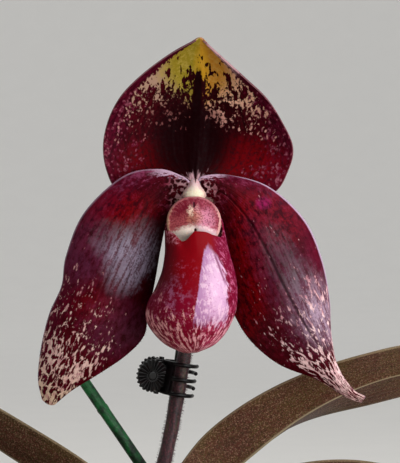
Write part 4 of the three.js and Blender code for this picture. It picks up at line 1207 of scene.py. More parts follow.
def shield_finish():
    """Rose with fine dark dots, a pale rim, a tan middle, a painted pink highlight on the right and white
    lower lobes; the column is cream.
    """
    f = Finish("column_and_shield_skin", FLOWER + SHIELD["centre"])
    reach, turn, face = f.marks()
    x, _, z = f.parts(f.spot())
    fine = f.grain(1.3, 3, 0.7)
    dots = f.cells(f.spot(), 2, "F1", flat=False)
    rays = f.noise(f.vector(turn * 60, reach * 2), 1, 2, 0.6)
    speckle = f.step(dots + (fine - 0.5) * 1.3, 0.56, 0.3)
    f.skin = f.mix(f.step(x + (fine - 0.5) * 5, -2.5, 3.5), rgb(150, 66, 72), rgb(180, 96, 112))
    band = f.step(reach + (fine - 0.5) * 0.4, 0.4, 0.66) * f.step(z + x * 0.3 + (fine - 0.5) * 3, -1.8, 1.2)
    f.paint(band * 0.9, f.mix(f.step(x, -2, 3.5), rgb(104, 8, 32), rgb(140, 40, 64)))
    f.paint(f.step(rays, 0.5, 0.62) * f.step(reach, 0.6, 0.85) * 0.3, rgb(186, 104, 112))
    # patches: a painted pink highlight on the right, the tan middle, and cream and pink marks beside the slit
    stir = (fine - 0.5) * 3.4
    for middle, size, strength, colour in (
        ((3.7, 0.2), (2.4, 3.2), 0.65, rgb(218, 142, 170)),
        ((0.2, 0.9), (2.4, 2), 0.55, rgb(184, 122, 96)),
        ((-1, 3), (0.8, 1.5), 0.9, rgb(220, 188, 168)),
        ((0.95, 3.7), (0.6, 1.3), 0.7, rgb(214, 146, 150)),
    ):
        patch = f.round_patch(x + stir, z - stir * 0.6, middle, size, 1)
        f.paint(patch * strength, colour)
    f.paint(speckle * f.step(z, -3, -1) * 0.65, rgb(100, 12, 34))
    f.paint(f.round_patch(x, z, (0, 4.75), (0.3, 0.9), 0.3), rgb(56, 2, 16))
    under = z + 1.3 + f.most(abs(x - 0.4) - 2.4, 0) * 0.45 + (fine - 0.5) * 3
    white = f.mix(f.step(x, -1, 2.5), rgb(226, 210, 198), rgb(236, 204, 210))
    f.paint(f.step(under, 0.9, -1.1) * 0.95, white)
    # painted shade: a dark dot in the dimple where the lower lobes part
    f.paint(f.round_patch(x, z, (0.45, -2.75), (0.4, 0.6), 0.4), rgb(64, 6, 16))
    edge = f.mix(f.step(x, -3, 4), rgb(186, 142, 118), rgb(214, 162, 156))
    edge = f.mix(f.step(z, 1, 5.5) * 0.8, edge, rgb(152, 74, 90))
    f.paint(f.step(reach + (fine - 0.5) * 0.22, 0.92, 0.985) * 0.85, edge)
    column = f.mix(f.step(z, 11.5, 8), rgb(206, 170, 174), rgb(228, 216, 190))
    flare = abs(x - 0.2) + (fine - 0.5) * 5 - f.step(z, 11, 8) * 1.2
    column = f.mix(f.step(flare, 0.2, 2.4) * 0.7, column, rgb(182, 124, 132))
    wedge = f.step(abs(x - 0.45) - (z - 11) * 0.14, 0.2, -0.1) * f.step(z, 10.9, 11.6)
    column = f.mix(wedge, column, rgb(50, 2, 14))
    f.paint(f.step(abs(face), 1.5, 1.9), column)
    grain = f.grain(3, 2)
    return f.surface(
        Roughness=0.34 + fine * 0.2, Normal=f.bump(grain * 0.5 + dots * 0.5, 0.09),
        Specular_IOR_Level=0.1, Subsurface_Weight=0.1, Subsurface_Scale=0.0012, Coat_Weight=0.06,
        Coat_Roughness=0.2,
    )


def build_shield():
    path = even_path(COLUMN_PATH, 40) + FLOWER
    column = limb(path, lambda t, angle: COLUMN_RADIUS(t) * (1 + 0.05 * np.cos(2 * angle)), 48, 2)
    high = column.points[:, 2] - FLOWER[2]
    spread = 1.3 - 0.62 * eased(high, -2.2, 1.8)
    column.points[:, 0] = FLOWER[0] + 0.4 + (column.points[:, 0] - FLOWER[0] - 0.4) * spread
    form = Form.together([column, shield_form()])
    piece("column_and_shield_skin", form, shield_finish(), ["column_and_shield"])


# ---- ovary, bract and scape
OVARY_PATH = curve([
    [0, 1.8, -0.8], [0, 5.4, -1.6], [-0.1, 9.6, -4.4], [-0.6, 12.8, -11], [-1.1, 14.6, -20],
    [-1.6, 15.1, -30],
    [-2, 15, -39.6],
])
OVARY_RADIUS = level([2.6, 3.1, 2.9, 2.9, 3.1, 2.8, 2.2])
BRACT_FOOT, BRACT_LENGTH = (-2.1, 15, -43.5), 21
BRACT_RADIUS = level([3, 3.7, 4, 4.05, 3.95])
BRACT_REACH = level([2.6, 2.5, 2.2, 1.6, 0.25])
CROWN_X, CROWN_Y, CROWN_TOP = -3, 0, 92.4
SCAPE_PATH = curve([
    [CROWN_X, CROWN_Y, CROWN_TOP + 0.55], [-1.6, 0.6, 105], [1.9, 1.6, 119.1], [4.2, 2.2, 130],
    [6.4, 2.7, 142],
    [8, 2.95, 152], [8.48, 3, 161],
])


def bract_point(s, t):
    angle, radius = s * BRACT_REACH(t), BRACT_RADIUS(t)
    return np.stack([
        BRACT_FOOT[0] + 0.9 * t + radius * np.sin(angle),
        BRACT_FOOT[1] + 0.9 * t * t + radius * np.cos(angle) + 0.5 * t,
        BRACT_FOOT[2] + BRACT_LENGTH * t,
    ], axis=-1) + FLOWER


def stem_finish():
    c = bpy.context.scene.orchid_plant
    f = Finish("scape_skin")
    angle, t, _ = f.marks()
    line = f.noise(f.vector(angle * 1.6, t * 6), 1, 3)
    fine = f.grain(1.4, 3, 0.7)
    f.skin = f.mix(f.step(fine, 0.4, 0.7), c.stem, rgb(92, 40, 50))
    f.paint(f.step(line, 0.52, 0.7) * 0.5, rgb(70, 66, 34))
    return f.surface(
        Roughness=0.45 + fine * 0.25, Normal=f.bump(fine, 0.12), Sheen_Weight=0.35, Sheen_Roughness=0.4
    )


def ovary_finish():
    c = bpy.context.scene.orchid_plant
    f = Finish("ovary_skin", FLOWER)
    angle, t, _ = f.marks()
    fine = f.grain(1.2, 3, 0.7)
    rib = f.math("SINE", angle * 3 + t * 2)
    f.skin = f.mix(f.step(rib + fine * 0.8, 0.1, 1.2), c.ovary, rgb(74, 16, 36))
    f.paint(f.step(fine, 0.55, 0.7) * 0.6, rgb(120, 112, 58))
    return f.surface(
        Roughness=0.5 + fine * 0.2, Normal=f.bump(fine, 0.12), Sheen_Weight=0.35, Sheen_Roughness=0.4
    )


def bract_finish():
    c = bpy.context.scene.orchid_plant
    f = Finish("bract_skin", FLOWER)
    s, t, _ = f.marks()
    lines = f.noise(f.vector(s * 9, t * 1.5), 1, 2)
    fine = f.grain(1, 3, 0.7)
    f.skin = f.mix(f.step(t + fine * 0.3, 0.2, 1.1), rgb(98, 96, 46), c.ovary)
    f.paint(f.step(lines, 0.5, 0.62) * 0.7, rgb(86, 26, 40))
    return f.surface(
        Roughness=0.45 + fine * 0.2, Normal=f.bump(lines * 0.6 + fine * 0.4, 0.1), Sheen_Weight=0.2
    )


def build_stem():
    settings = flower_colours()
    length = settings.hair_length / MM
    path = even_path(SCAPE_PATH, 150)

    def scape_radius(t, angle):
        return (
            (2.25 - 0.2 * t) * (1 + 0.025 * np.sin(5 * angle + 9 * t) + 0.02 * np.sin(40 * t + 2 * angle))
        )

    scape = limb(path, scape_radius, 36)
    piece("scape_skin", scape, stem_finish(), ["scape"])
    path = even_path(OVARY_PATH, 90) + FLOWER

    def ovary_radius(t, angle):
        ribs = 0.07 * np.cos(3 * angle + 2 * t) + 0.02 * np.cos(12 * angle)
        return OVARY_RADIUS(t) * (1 + ribs)

    ovary = limb(path, ovary_radius, 48)
    piece("ovary_skin", ovary, ovary_finish(), ["ovary"])
    relief = veined(0.06, 13, 8)
    bract = blade(bract_point, lambda s, t: 0.7 - 0.25 * np.abs(s) ** 4, 56, 48, (0, 1, 0), relief)
    piece("bract_skin", bract, bract_finish(), ["bract"])
    parts = []
    for form, share, seed in ((scape, 1, 31), (ovary, 0.7, 32), (bract, 0.35, 33)):
        roots, ways = scatter(form, int(settings.hair_count * share), seed)
        parts.append(hairs(roots, ways, length, 0.045, seed))
    piece("stem_hairs", Form.together(parts), hair_finish())


# ---- leaves
ARCH = level([0.2, 0.2, 0.2, 0.2, 0.15, 0.15, 0.2, 0.3])
CROSS_STEPS = 6
LEAF_THICKNESS, LEAF_MARGIN = 1.6, 0.7
LEAVES = {
    "leaf_right_high": {
        "keel": [
            [2.1, 0, 81.35], [4, 0, 92.6], [9, 0.2, 102.4], [16.4, 0.5, 110.4], [25.4, 1, 118.2],
            [43.6, 2, 132.4],
            [63.4, 3, 142.3], [82, 4.5, 146.2], [102, 6, 143.4], [119, 7, 134.4], [129, 8, 124],
        ],
        "half": [4.6, 7.4, 10.2, 12.2, 13.6, 13.8, 13.7, 12.6, 10.4, 6.4, 0.9],
        "fold": [50, 56, 54, 50, 43, 21, 2, 0, 4, 7, 8],
        "roll": [0, 4, 16, 30, 41, 37, 39, 40, 30, 18, 10],
    },
    "leaf_left_high": {
        "keel": [
            [-8.1, 0, 81.35], [-10.2, 0, 92], [-16.4, 0.3, 101], [-27, 0.8, 109], [-43, 1.6, 119],
            [-62, 2.6, 130.6], [-82, 4, 138], [-102, 5.5, 138], [-119, 7, 130.4], [-129, 8, 121],
        ],
        "half": [4.6, 7.6, 10.6, 12.6, 13.4, 13.6, 13.2, 11.8, 8, 0.9],
        "fold": [50, 56, 50, 38, 28, 18, 8, 4, 6, 8],
        "roll": [0, 4, 10, 20, 27, 29, 28, 22, 14, 8],
    },
    "leaf_right_middle": {
        "keel": [
            [5.4, -0.1, 81.45], [8.8, -0.4, 88.6], [15.8, -1.2, 95.6], [27.5, -2.4, 102.8],
            [44, -4.2, 108.6],
            [62, -6, 110.6], [81, -8, 107.6], [99, -10, 99.8], [112, -11, 89],
        ],
        "half": [7, 9, 11, 13, 13.8, 13.6, 12.4, 8.8, 0.9],
        "fold": [50, 52, 48, 42, 36, 28, 20, 12, 8],
        "roll": [0, 2, 6, 10, 14, 16, 14, 8, 4],
    },
    "leaf_left_middle": {
        "keel": [
            [-11.4, -0.1, 81.45], [-15, -0.4, 88.2], [-22, -1.4, 94], [-34, -2.4, 100], [-51, -3.8, 103.6],
            [-70, -5.4, 102], [-87, -7, 95], [-99, -8.4, 85.4],
        ],
        "half": [7, 9.2, 11.2, 13, 13.6, 12.6, 9, 0.9],
        "fold": [50, 52, 48, 40, 30, 20, 12, 8],
        "roll": [0, 2, 6, 10, 12, 12, 8, 4],
    },
    "leaf_right_low": {
        "keel": [
            [8.8, 0.2, 81.6], [12.6, 0.8, 85.4], [20, 2, 89.8], [32, 4, 93.6], [47, 6.4, 95.8],
            [63, 9, 93.4],
            [78, 11.4, 86], [89, 13, 76.6],
        ],
        "half": [8.6, 10, 11.4, 12.6, 12.8, 11.8, 8.2, 0.9],
        "fold": [46, 46, 42, 36, 28, 20, 12, 8],
        "roll": [0, -2, -4, -6, -8, -8, -6, -4],
    },
    "leaf_left_low": {
        "keel": [
            [-14.8, 0.2, 81.6], [-18.6, 0.8, 85.2], [-26, 2, 89.2], [-38, 4.2, 92.8], [-53, 7, 94],
            [-68, 10, 90],
            [-82, 12.6, 81.6], [-91, 14, 72.6],
        ],
        "half": [8.6, 10, 11.4, 12.4, 12.6, 11.4, 7.8, 0.9],
        "fold": [46, 46, 42, 36, 28, 20, 12, 8],
        "roll": [0, -2, -4, -6, -8, -8, -6, -4],
    },
}


def leaf_surface(shape):
    """The blade of a leaf round its keel: folded by an angle over the flat, and rolled about the keel."""
    path = curve(shape["keel"])
    half_width, fold, roll = (level(shape[key]) for key in ("half", "fold", "roll"))

    def at(s, t):
        tangent = unit(path(np.minimum(t + 1e-4, 1)) - path(np.maximum(t - 1e-4, 0)))
        inward = unit(np.cross([0, 1, 0], tangent))
        inward = inward * np.where(inward[..., 2:] < 0, -1, 1)
        side = unit(np.cross(inward, tangent))
        side = side * np.where(side[..., 1:2] < 0, -1, 1)
        turn = np.radians(roll(t))[..., None]
        upper = inward * np.cos(turn) + side * np.sin(turn)
        flank = side * np.cos(turn) - inward * np.sin(turn)
        slope, arch = np.radians(fold(t)), ARCH(t)
        point = path(t)
        reach = (half_width(t) * np.abs(s) / CROSS_STEPS)[..., None]
        for k in range(CROSS_STEPS):
            here = (k + 0.5) / CROSS_STEPS * np.abs(s)
            angle = (slope * (1 - arch + arch * 2 * here))[..., None]
            point = point + flank * np.sign(s)[..., None] * np.cos(angle) * reach
            point = point + upper * np.sin(angle) * reach
        return point

    return at


def leaf_thickness(s, t):
    centre = 1 - np.abs(s) ** 1.5
    ends = np.minimum(1, 4 * (1 - t)) * np.minimum(1, 0.55 + 3 * t)
    return LEAF_MARGIN + (LEAF_THICKNESS - LEAF_MARGIN) * centre * ends


def leaf_relief(seed, upper):
    random = np.random.default_rng(seed)
    shift = random.uniform(0, 6.28, 4)

    def relief(s, t):
        fade = eased(t, 0, 0.06) * eased(1 - t, 0, 0.06) * eased(1 - np.abs(s), 0, 0.12)
        veins = 0.035 * np.cos(np.pi * 13 * s + 0.4 * np.sin(6 * t + shift[0]))
        swell = 0.14 * np.sin(7 * t + 3 * s + shift[1]) * np.sin(3.1 * s + 11 * t + shift[2])
        keel = -0.3 * np.exp(-((s / 0.04) ** 2)) if upper else 0.6 * np.exp(-((s / 0.06) ** 2))
        return fade * (veins + (swell if upper else -swell) + keel)

    return relief


def leaf_finish():
    """Strap leaves, olive and red-brown with fine pale and dark grains, with a paler keel and margins."""
    c = bpy.context.scene.orchid_plant
    f = Finish("leaf_skin")
    s, t, side = f.marks()
    away = abs(s)
    cloud = f.grain(0.05, 3)
    fine = f.grain(1.9, 3, 0.75)
    long = f.noise(f.vector(s * 16, t * 22), 1, 3, 0.6)
    f.skin = f.mix(f.step(cloud, 0.35, 0.7), c.leaf_green, rgb(78, 66, 36))
    under = f.mix(f.step(cloud + (long - 0.5) * 0.5, 0.4, 0.6), rgb(80, 50, 38), rgb(84, 68, 36))
    f.paint(f.step(side, 0.2, -0.2) * 0.8, under)
    # painted shade: the leaves darker towards the left, away from the key light
    f.paint(f.step(f.parts(f.spot())[0], 5, -45) * 0.6, rgb(44, 42, 16))
    flush = f.step(away + (cloud - 0.5) * 0.3, 1, 0.75)
    speckle = f.step(fine * 0.85 + long * 0.2, 0.47, 0.57)
    f.paint(speckle * (0.35 + flush * 0.4), c.leaf_brown)
    pale = f.step(f.grain(2.3, 3, 0.75), 0.52, 0.64)
    f.paint(pale * 0.6, rgb(164, 132, 108))
    dark = f.step(f.grain(1.5, 3, 0.75), 0.48, 0.38)
    f.paint(dark * 0.6, rgb(36, 22, 16))
    bands = f.noise(f.vector(s * 3, t * 9), 1, 3, 0.6)
    f.paint(f.step(bands, 0.52, 0.7) * 0.35, rgb(46, 34, 22))
    line = f.most(f.step(away, 0.03, 0.008), f.step(away, 0.97, 0.99) * 0.35)
    f.paint(line * 0.85, c.leaf_edge)
    veins = f.math("SINE", s * 41 + f.noise(f.vector(s, t * 3), 2) * 3)
    return f.surface(
        Roughness=0.4 + fine * 0.2, Normal=f.bump(fine * 0.6 + veins * 0.08 + long * 0.3, 0.1),
        Specular_IOR_Level=0.08,
    )


def build_leaves():
    skin = leaf_finish()
    for seed, (name, shape) in enumerate(LEAVES.items()):
        surface = leaf_surface(shape)

        def at(s, t, surface=surface):
            notch = 0.012 * np.exp(-((s / 0.32) ** 2)) * eased(t, 0.96, 1)
            return surface(s, t - notch)

        form = blade(
            at, leaf_thickness, 52, 190, (0, 0, 1), leaf_relief(seed, True), leaf_relief(seed, False)
        )
        piece(name + "_skin", form, skin, [name])


# ---- crown and roots
CROWN_PROFILE = [[0, 65], [2.6, 68], [3.8, 75], [3.6, 79.4], [2.4, 81.2], [2.2, CROWN_TOP], [0, CROWN_TOP]]
ROOT_TOP = 77.5
ROOTS = [
    {"turn": 35, "reach": 20, "drop": 50, "radius": 1.5},
    {"turn": 142, "reach": 24, "drop": 42, "radius": 1.7},
    {"turn": 205, "reach": 21, "drop": 46, "radius": 1.6},
    {"turn": 262, "reach": 26, "drop": 38, "radius": 1.8},
    {"turn": 322, "reach": 23, "drop": 54, "radius": 1.5},
]


def crown_finish():
    f = Finish("crown_skin")
    _, _, z = f.parts(f.spot())
    fine = f.grain(0.9, 3, 0.7)
    line = f.grain(0.3, 2)
    f.skin = f.mix(f.step(z + fine * 4, 78, 84), rgb(74, 52, 34), rgb(112, 112, 58))
    f.paint(f.step(line, 0.5, 0.65) * 0.5, rgb(90, 46, 40))
    return f.surface(Roughness=0.6 + fine * 0.3, Normal=f.bump(fine, 0.2))


def build_crown():
    profile = rounded(CROWN_PROFILE, 0.6, 3, 0.6)
    forms = [lathe(profile, 40, lambda r, z, a: 0.12 * np.sin(5 * a + z * 0.4)).moved((CROWN_X, CROWN_Y, 0))]
    for k, root in enumerate(ROOTS):
        angle = math.radians(root["turn"])

        def out(distance, height, angle=angle):
            return [CROWN_X + distance * math.cos(angle), CROWN_Y + distance * math.sin(angle), height]

        reach, drop = root["reach"], root["drop"]
        at = curve([
            out(1, ROOT_TOP), out(reach * 0.35, ROOT_TOP + 1.4), out(reach * 0.7, ROOT_TOP - 4),
            out(reach, ROOT_TOP - drop / 2), out(reach * 1.05, ROOT_TOP - drop),
        ])
        path = even_path(at, 70)

        def radius(t, a, k=k, root=root):
            knots = 1 + 0.05 * np.sin(23 * t + k) + 0.03 * np.sin(3 * a)
            return root["radius"] * domed(t, 60, 2, False) * knots

        forms.append(limb(path, radius, 20))
    piece("crown_and_roots_skin", Form.together(forms), crown_finish(), ["crown_and_roots"])


# ---- cane and stake
CANE_FOOT, CANE_TIP, CANE_RADIUS = np.array([30.2, 17, 62]), np.array([-27.6, 8.6, 148]), 1.75
STAKE_FOOT, STAKE_TIP, STAKE_RADIUS = np.array([-9.2, 8.2, 38]), np.array([6.35, 6.35, 152.5]), 1.2


def cane_finish(name, light, dark, shine):
    f = Finish(name)
    angle, t, length = f.marks()
    along = t * length
    fibre = f.noise(f.vector(angle * 6, along * 0.12), 1, 3, 0.6)
    cloud = f.grain(0.22, 4, 0.6)
    fine = f.grain(1.1, 3, 0.7)
    f.skin = f.mix(f.step(cloud, 0.4, 0.6), dark, light)
    f.paint(f.step(fibre, 0.5, 0.75) * 0.5, dark)
    f.paint(f.step(fine, 0.6, 0.72) * 0.35, rgb(84, 140, 84))
    return f.surface(
        Roughness=shine + fibre * 0.2, Normal=f.bump(fibre * 0.7 + fine * 0.3, 0.12),
        Specular_IOR_Level=0.4,
    )


def build_canes():
    c = bpy.context.scene.orchid_holder
    for name, foot, tip, radius, joints, colours in (
        ("green_cane", CANE_FOOT, CANE_TIP, CANE_RADIUS, (0.16, 0.5, 0.83), (c.cane, rgb(6, 34, 18), 0.42)),
        (
            "flower_stake", STAKE_FOOT, STAKE_TIP, STAKE_RADIUS, (0.3, 0.68),
            (rgb(36, 52, 34), rgb(16, 22, 16), 0.5),
        ),
    ):
        length = float(np.linalg.norm(tip - foot))
        path = foot + (tip - foot) * np.linspace(0, 1, 260)[:, None]

        def outline(t, angle, radius=radius, joints=joints, length=length):
            reach = 1
            for joint in joints:
                reach = reach + 0.09 * np.exp(-(((t - joint) * length / 0.8) ** 2))
                reach = reach - 0.05 * np.exp(-(((t - joint) * length - 0.9) / 0.35) ** 2)
            end = np.minimum(np.minimum(t, 1 - t) * length / 0.3, 1)
            fibres = 1 + 0.015 * np.sin(2 * angle) + 0.01 * np.sin(9 * angle)
            return radius * (reach - 0.12 * (1 - end)) * fibres

        form = limb(path, outline, 32, length)
        slot = "dyed_cane" if name == "green_cane" else "stake"
        piece(name + "_skin", form, cane_finish(name + "_skin", *colours), [name], crease=50)


# ---- claw clip
CLIP = {
    "place": np.array([6.1, 4.1, 143.2]), "lean": 9.5, "inner": 4.3, "finger": 0.62, "height": 10.4,
    "pitch": 4.6, "bevel": 0.35, "pin": -6.3, "pin_radius": 0.8, "pin_past": 1.2, "pin_play": 0.3,
    "knuckle": 1.75, "tab_out": -8.6, "tab_apart": 4.6, "tab_radius": 5.2, "tab_thickness": 1.1,
    "tab_splay": 29, "teeth": 22, "tooth_depth": 0.45, "rib_height": 0.32, "button_height": 0.25,
}
CLIP_KNUCKLES = {"front": ((-4.3, 4.3), 1.6), "back": ((-2.5, 2.5), 1.4)}  # middles, and height
CLIP_RING = CLIP["inner"] + CLIP["finger"]
CLIP_ANGLES = {"band": (20, 62), "fingers": 58, "front_end": 372, "back_end": -14}
CLIP_ARMS = (((1.5, 2.6), -0.3, 2.3), ((2.2, 1.3), 1.2, 1.35))  # width and depth, and place beside the pin
SPRING = {"turns": 4, "wire": 0.26, "coil": 1.42, "height": 2, "run": 35}


def clip_turn():
    angle = math.radians(CLIP["lean"])
    return np.array(
        [[math.cos(angle), 0, math.sin(angle)], [0, 1, 0], [-math.sin(angle), 0, math.cos(angle)]]
    )


def about_z(degrees):
    angle = math.radians(degrees)
    return np.array(
        [[math.cos(angle), -math.sin(angle), 0], [math.sin(angle), math.cos(angle), 0], [0, 0, 1]]
    )


def clip_finger(start, end, z):
    angle = np.radians(np.linspace(start, end, 60))
    path = about_axis(CLIP_RING, angle, z)
    length = abs(math.radians(end - start)) * CLIP_RING

    def radius(t, _):
        return CLIP["finger"] * domed(t, length, CLIP["finger"]) * (1.12 - 0.2 * t)

    return limb(path, radius, 16)


def clip_band(start, end):
    angle = np.radians(np.linspace(start, end, 26))
    corner = np.linspace(0, np.pi / 2, 5)
    thick, high, bevel = CLIP["finger"], CLIP["height"] / 2, CLIP["bevel"]
    outline = []
    for quarter, (sx, sz) in enumerate(QUARTERS):
        for turn in corner + quarter * np.pi / 2:
            across = sx * (thick - bevel) + bevel * math.cos(turn)
            outline.append((CLIP_RING + across, sz * (high - bevel) + bevel * math.sin(turn)))
    reach, z = np.array(outline).T
    return rings(about_axis(reach, angle[:, None], z))


def clip_tab(side):
    """A round thumb tab with radial ribs on both faces and a toothed rim."""
    teeth = CLIP["teeth"]
    angle = full_turn(teeth * 8)
    ridge = np.abs(np.cos(teeth / 2 * angle)) ** 3
    half = CLIP["tab_thickness"] / 2
    rows = []

    def row(reach, lift):
        notch = CLIP["tooth_depth"] * (1 - ridge) * eased(reach, 0.8, 1)
        radius = reach * (CLIP["tab_radius"] - notch)
        ribs = CLIP["rib_height"] * ridge * eased(reach, 0.3, 0.45)
        ribs = ribs * eased(1.02 - reach, 0, 0.06)
        button = CLIP["button_height"] * eased(0.3 - reach, 0, 0.06)
        y = np.sign(lift) * (half * abs(lift) + (ribs + button) * (abs(lift) > 0.9))
        rows.append(np.stack([radius * np.cos(angle), y, radius * np.sin(angle)], axis=-1))

    for reach in np.linspace(0.03, 0.97, 22):
        row(reach, 1)
    row(1, 0.6)
    row(1, -0.6)
    for reach in np.linspace(0.97, 0.03, 22):
        row(reach, -1)
    form = rings(np.array(rows)).moved((0, side * half, 0))
    return form.moved((CLIP["tab_out"], side * CLIP["tab_apart"], 0), about_z(-side * CLIP["tab_splay"]))


def clip_drum(radius, height, z, hole=0):
    if not hole:
        profile = rounded(
            [[0, -height / 2], [radius, -height / 2], [radius, height / 2], [0, height / 2]], 0.2, 3
        )
        return lathe(profile, 40).moved((CLIP["pin"], 0, z))
    profile = rounded([
        [hole, 0], [hole, -height / 2], [radius, -height / 2], [radius, height / 2],
        [hole, height / 2], [hole, 0.01],
    ], 0.15, 3)
    stack = about_axis(profile[:-1, :1], full_turn(40), profile[:-1, 1:])
    first = np.arange(40)
    last = (len(stack) - 1) * 40 + first
    close = np.stack([last, np.roll(last, -1), np.roll(first, -1), first], axis=-1)
    form = Form(stack, [grid_faces(len(stack), 40, wrap=True), close]).turned_out()
    return form.moved((CLIP["pin"], 0, z))


def clip_jaw(side, heights, finger_end, knuckles, knuckle_height, hole):
    forms = [clip_band(*(180 - side * turn for turn in CLIP_ANGLES["band"])), clip_tab(side)]
    forms += [clip_finger(180 - side * CLIP_ANGLES["fingers"], finger_end, z) for z in heights]
    for z in knuckles:
        forms.append(clip_drum(CLIP["knuckle"], knuckle_height, z, hole))
        for size, out, apart in CLIP_ARMS:
            forms.append(slab(*size, knuckle_height).moved((CLIP["pin"] + out, side * apart, z)))
    return forms


def plastic_finish():
    c = bpy.context.scene.orchid_holder
    f = Finish("clip_plastic_skin", CLIP["place"])
    fine = f.grain(1.2, 3, 0.6)
    wear = f.grain(0.35, 4, 0.7)
    f.skin = f.mix(f.step(wear, 0.55, 0.72) * 0.35, c.plastic, rgb(48, 24, 28))
    return f.surface(
        Roughness=0.24 + fine * 0.16, Normal=f.bump(fine, 0.03), Specular_IOR_Level=0.15,
        Coat_Weight=0.08, Coat_Roughness=0.12,
    )


def steel_finish():
    f = Finish("spring_wire_skin")
    fine = f.grain(2, 2)
    f.skin = f.mix(fine, rgb(120, 118, 116), rgb(176, 174, 170))
    return f.surface(Metallic=1, Roughness=0.25 + fine * 0.15)


def build_clip():
    plastic = plastic_finish()
    turn, place, pitch = clip_turn(), CLIP["place"], CLIP["pitch"]
    end, knuckles = CLIP_ANGLES["front_end"], CLIP_KNUCKLES["front"]
    front = clip_jaw(-1, (-pitch, 0, pitch), end, *knuckles, CLIP["pin_radius"] + CLIP["pin_play"])
    form = Form.together(front).moved(place, turn)
    piece("clip_front_jaw_skin", form, plastic, ["clip_front_jaw"], FRONT_JAW, 40)
    end, knuckles = CLIP_ANGLES["back_end"], CLIP_KNUCKLES["back"]
    back = clip_jaw(1, (-pitch / 2, pitch / 2), end, *knuckles, 0)
    back.append(clip_drum(CLIP["pin_radius"], CLIP["height"] + CLIP["pin_past"], 0))
    form = Form.together(back).moved(place, turn)
    piece("clip_back_jaw_skin", form, plastic, ["clip_back_jaw"], PLANT, 40)
    # spring: a coil of wire round the pin
    wire, coil, half = SPRING["wire"], SPRING["coil"], SPRING["height"] / 2
    angle = np.linspace(0, 2 * np.pi * SPRING["turns"], 220)
    path = about_axis(coil, angle, np.linspace(-half, half, 220)) + [CLIP["pin"], 0, 0]
    form = limb(path, lambda t, _: wire * domed(t, SPRING["run"], wire), 10).moved(place, turn)
    piece("clip_spring_wire", form, steel_finish(), ["clip_spring"])


# ---- pot
POT = {
    "height": 92, "rim_radius": 54, "rim_height": 19, "rim_step": 4, "rim_draft": 0.8, "mouth_inset": 7.4,
    "base_radius": 37, "wall": 5.2, "floor": 7, "worn": 1.5,
    "drains": 3, "drain_radius": 4, "drain_reach": 0.55,  # the last as a share of the base
}
POT_INSIDE_TOP = POT["rim_radius"] - POT["mouth_inset"]


def inside_radius(z):
    foot = POT["base_radius"] - POT["wall"]
    return foot + (POT_INSIDE_TOP - foot) * z / POT["height"]


def pot_finish():
    """Fired clay: fine grit, turning lines, pale bloom near rim and foot, and darker lower down."""
    c = bpy.context.scene.orchid_holder
    f = Finish("fired_clay_skin")
    x, y, z = f.parts(f.spot())
    cloud = f.grain(0.03, 4, 0.6)
    grit = f.grain(1, 3, 0.75)
    line = f.noise(f.vector(0, 0, z * 1.4), 1, 3)
    f.skin = f.mix(f.step(cloud, 0.3, 0.7), c.clay, rgb(150, 80, 54))
    f.paint(f.step(grit, 0.6, 0.75) * 0.5, rgb(120, 62, 42))
    bloom_and_sheen = f.step(f.grain(0.07, 5, 0.65), 0.52, 0.72)
    bloom_and_sheen = bloom_and_sheen * f.most(f.step(z, 66, 88), f.step(z, 14, 2)) * 0.75
    f.paint(bloom_and_sheen, rgb(222, 200, 178))
    lower_darkening = f.step(z + cloud * 30, 44, 14)
    f.paint(lower_darkening * 0.35, rgb(112, 58, 40))
    drum = x * x + y * y
    soil = f.step(drum, 2300, 1900) * f.step(z, 70, 86) * f.step(grit + cloud, 0.8, 1.1)
    f.paint(soil * 0.6, rgb(76, 50, 36))
    return f.surface(
        Roughness=0.78 + grit * 0.18, Normal=f.bump(grit * 0.6 + line * 0.5, 0.14), Specular_IOR_Level=0.3
    )


def build_pot():
    height, rim, rim_height = POT["height"], POT["rim_radius"], POT["rim_height"]
    base, floor = POT["base_radius"], POT["floor"]
    shoulder, under = rim - POT["rim_step"], rim - POT["rim_draft"]
    profile = rounded([
        [0, 0], [base, 0], [shoulder - 0.6, height - rim_height], [under, height - rim_height],
        [rim, height], [POT_INSIDE_TOP, height], [inside_radius(floor), floor], [0, floor],
    ], POT["worn"], 5, 1.6)

    def relief(r, z, angle):
        lines = 0.05 * np.sin(z * 2.1) + 0.03 * np.sin(z * 5.3 + 1)
        return (lines + 0.12 * np.sin(angle + 1) + 0.07 * np.sin(3 * angle + z * 0.02)) * (r > 20)

    body = make_object("pot_body", lathe(profile, 128, relief), None)
    drains = []
    below, above, drain = -5, 2 * floor, POT["drain_radius"]
    for angle in full_turn(POT["drains"]) + math.pi / 2:
        reach = base * POT["drain_reach"]
        plug = rounded([[0, below], [drain, below], [drain, above], [0, above]], 0.1, 1, 4)
        drains.append(lathe(plug, 40).moved((reach * math.cos(angle), reach * math.sin(angle), 0)))
    cutter = make_object("pot_drains", Form.together(drains), None)
    cut = body.modifiers.new("drains", "BOOLEAN")
    cut.operation, cut.solver, cut.object = "DIFFERENCE", "EXACT", cutter
    ready = body.evaluated_get(bpy.context.evaluated_depsgraph_get())
    mesh = bpy.data.meshes.new_from_object(ready)
    mesh.materials.clear()
    mesh.materials.append(pot_finish())
    mesh.shade_smooth()
    mesh.set_sharp_from_angle(angle=math.radians(40))
    for used in (body, cutter):
        bpy.data.objects.remove(used)
    made = bpy.data.objects.new("pot_fired_clay", mesh)
    bpy.context.scene.collection.objects.link(made)
    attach(made, PLANT)
    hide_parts("pot")


# ---- bark mix
MIX_TOP, MIX_GAP, MIX_REACH = 80.4, 0.35, 42.5
MIX_SEED = 11
BED_DROP = 1.2  # how far the bed under the chips lies below the mix's top
LEAF_FEET = {"half_length": 11.5, "half_width": 10, "lift": 0.4, "slope": 0.62, "most": 90}
GOLDEN_TURN = 2.39996  # spreads places evenly over a disc
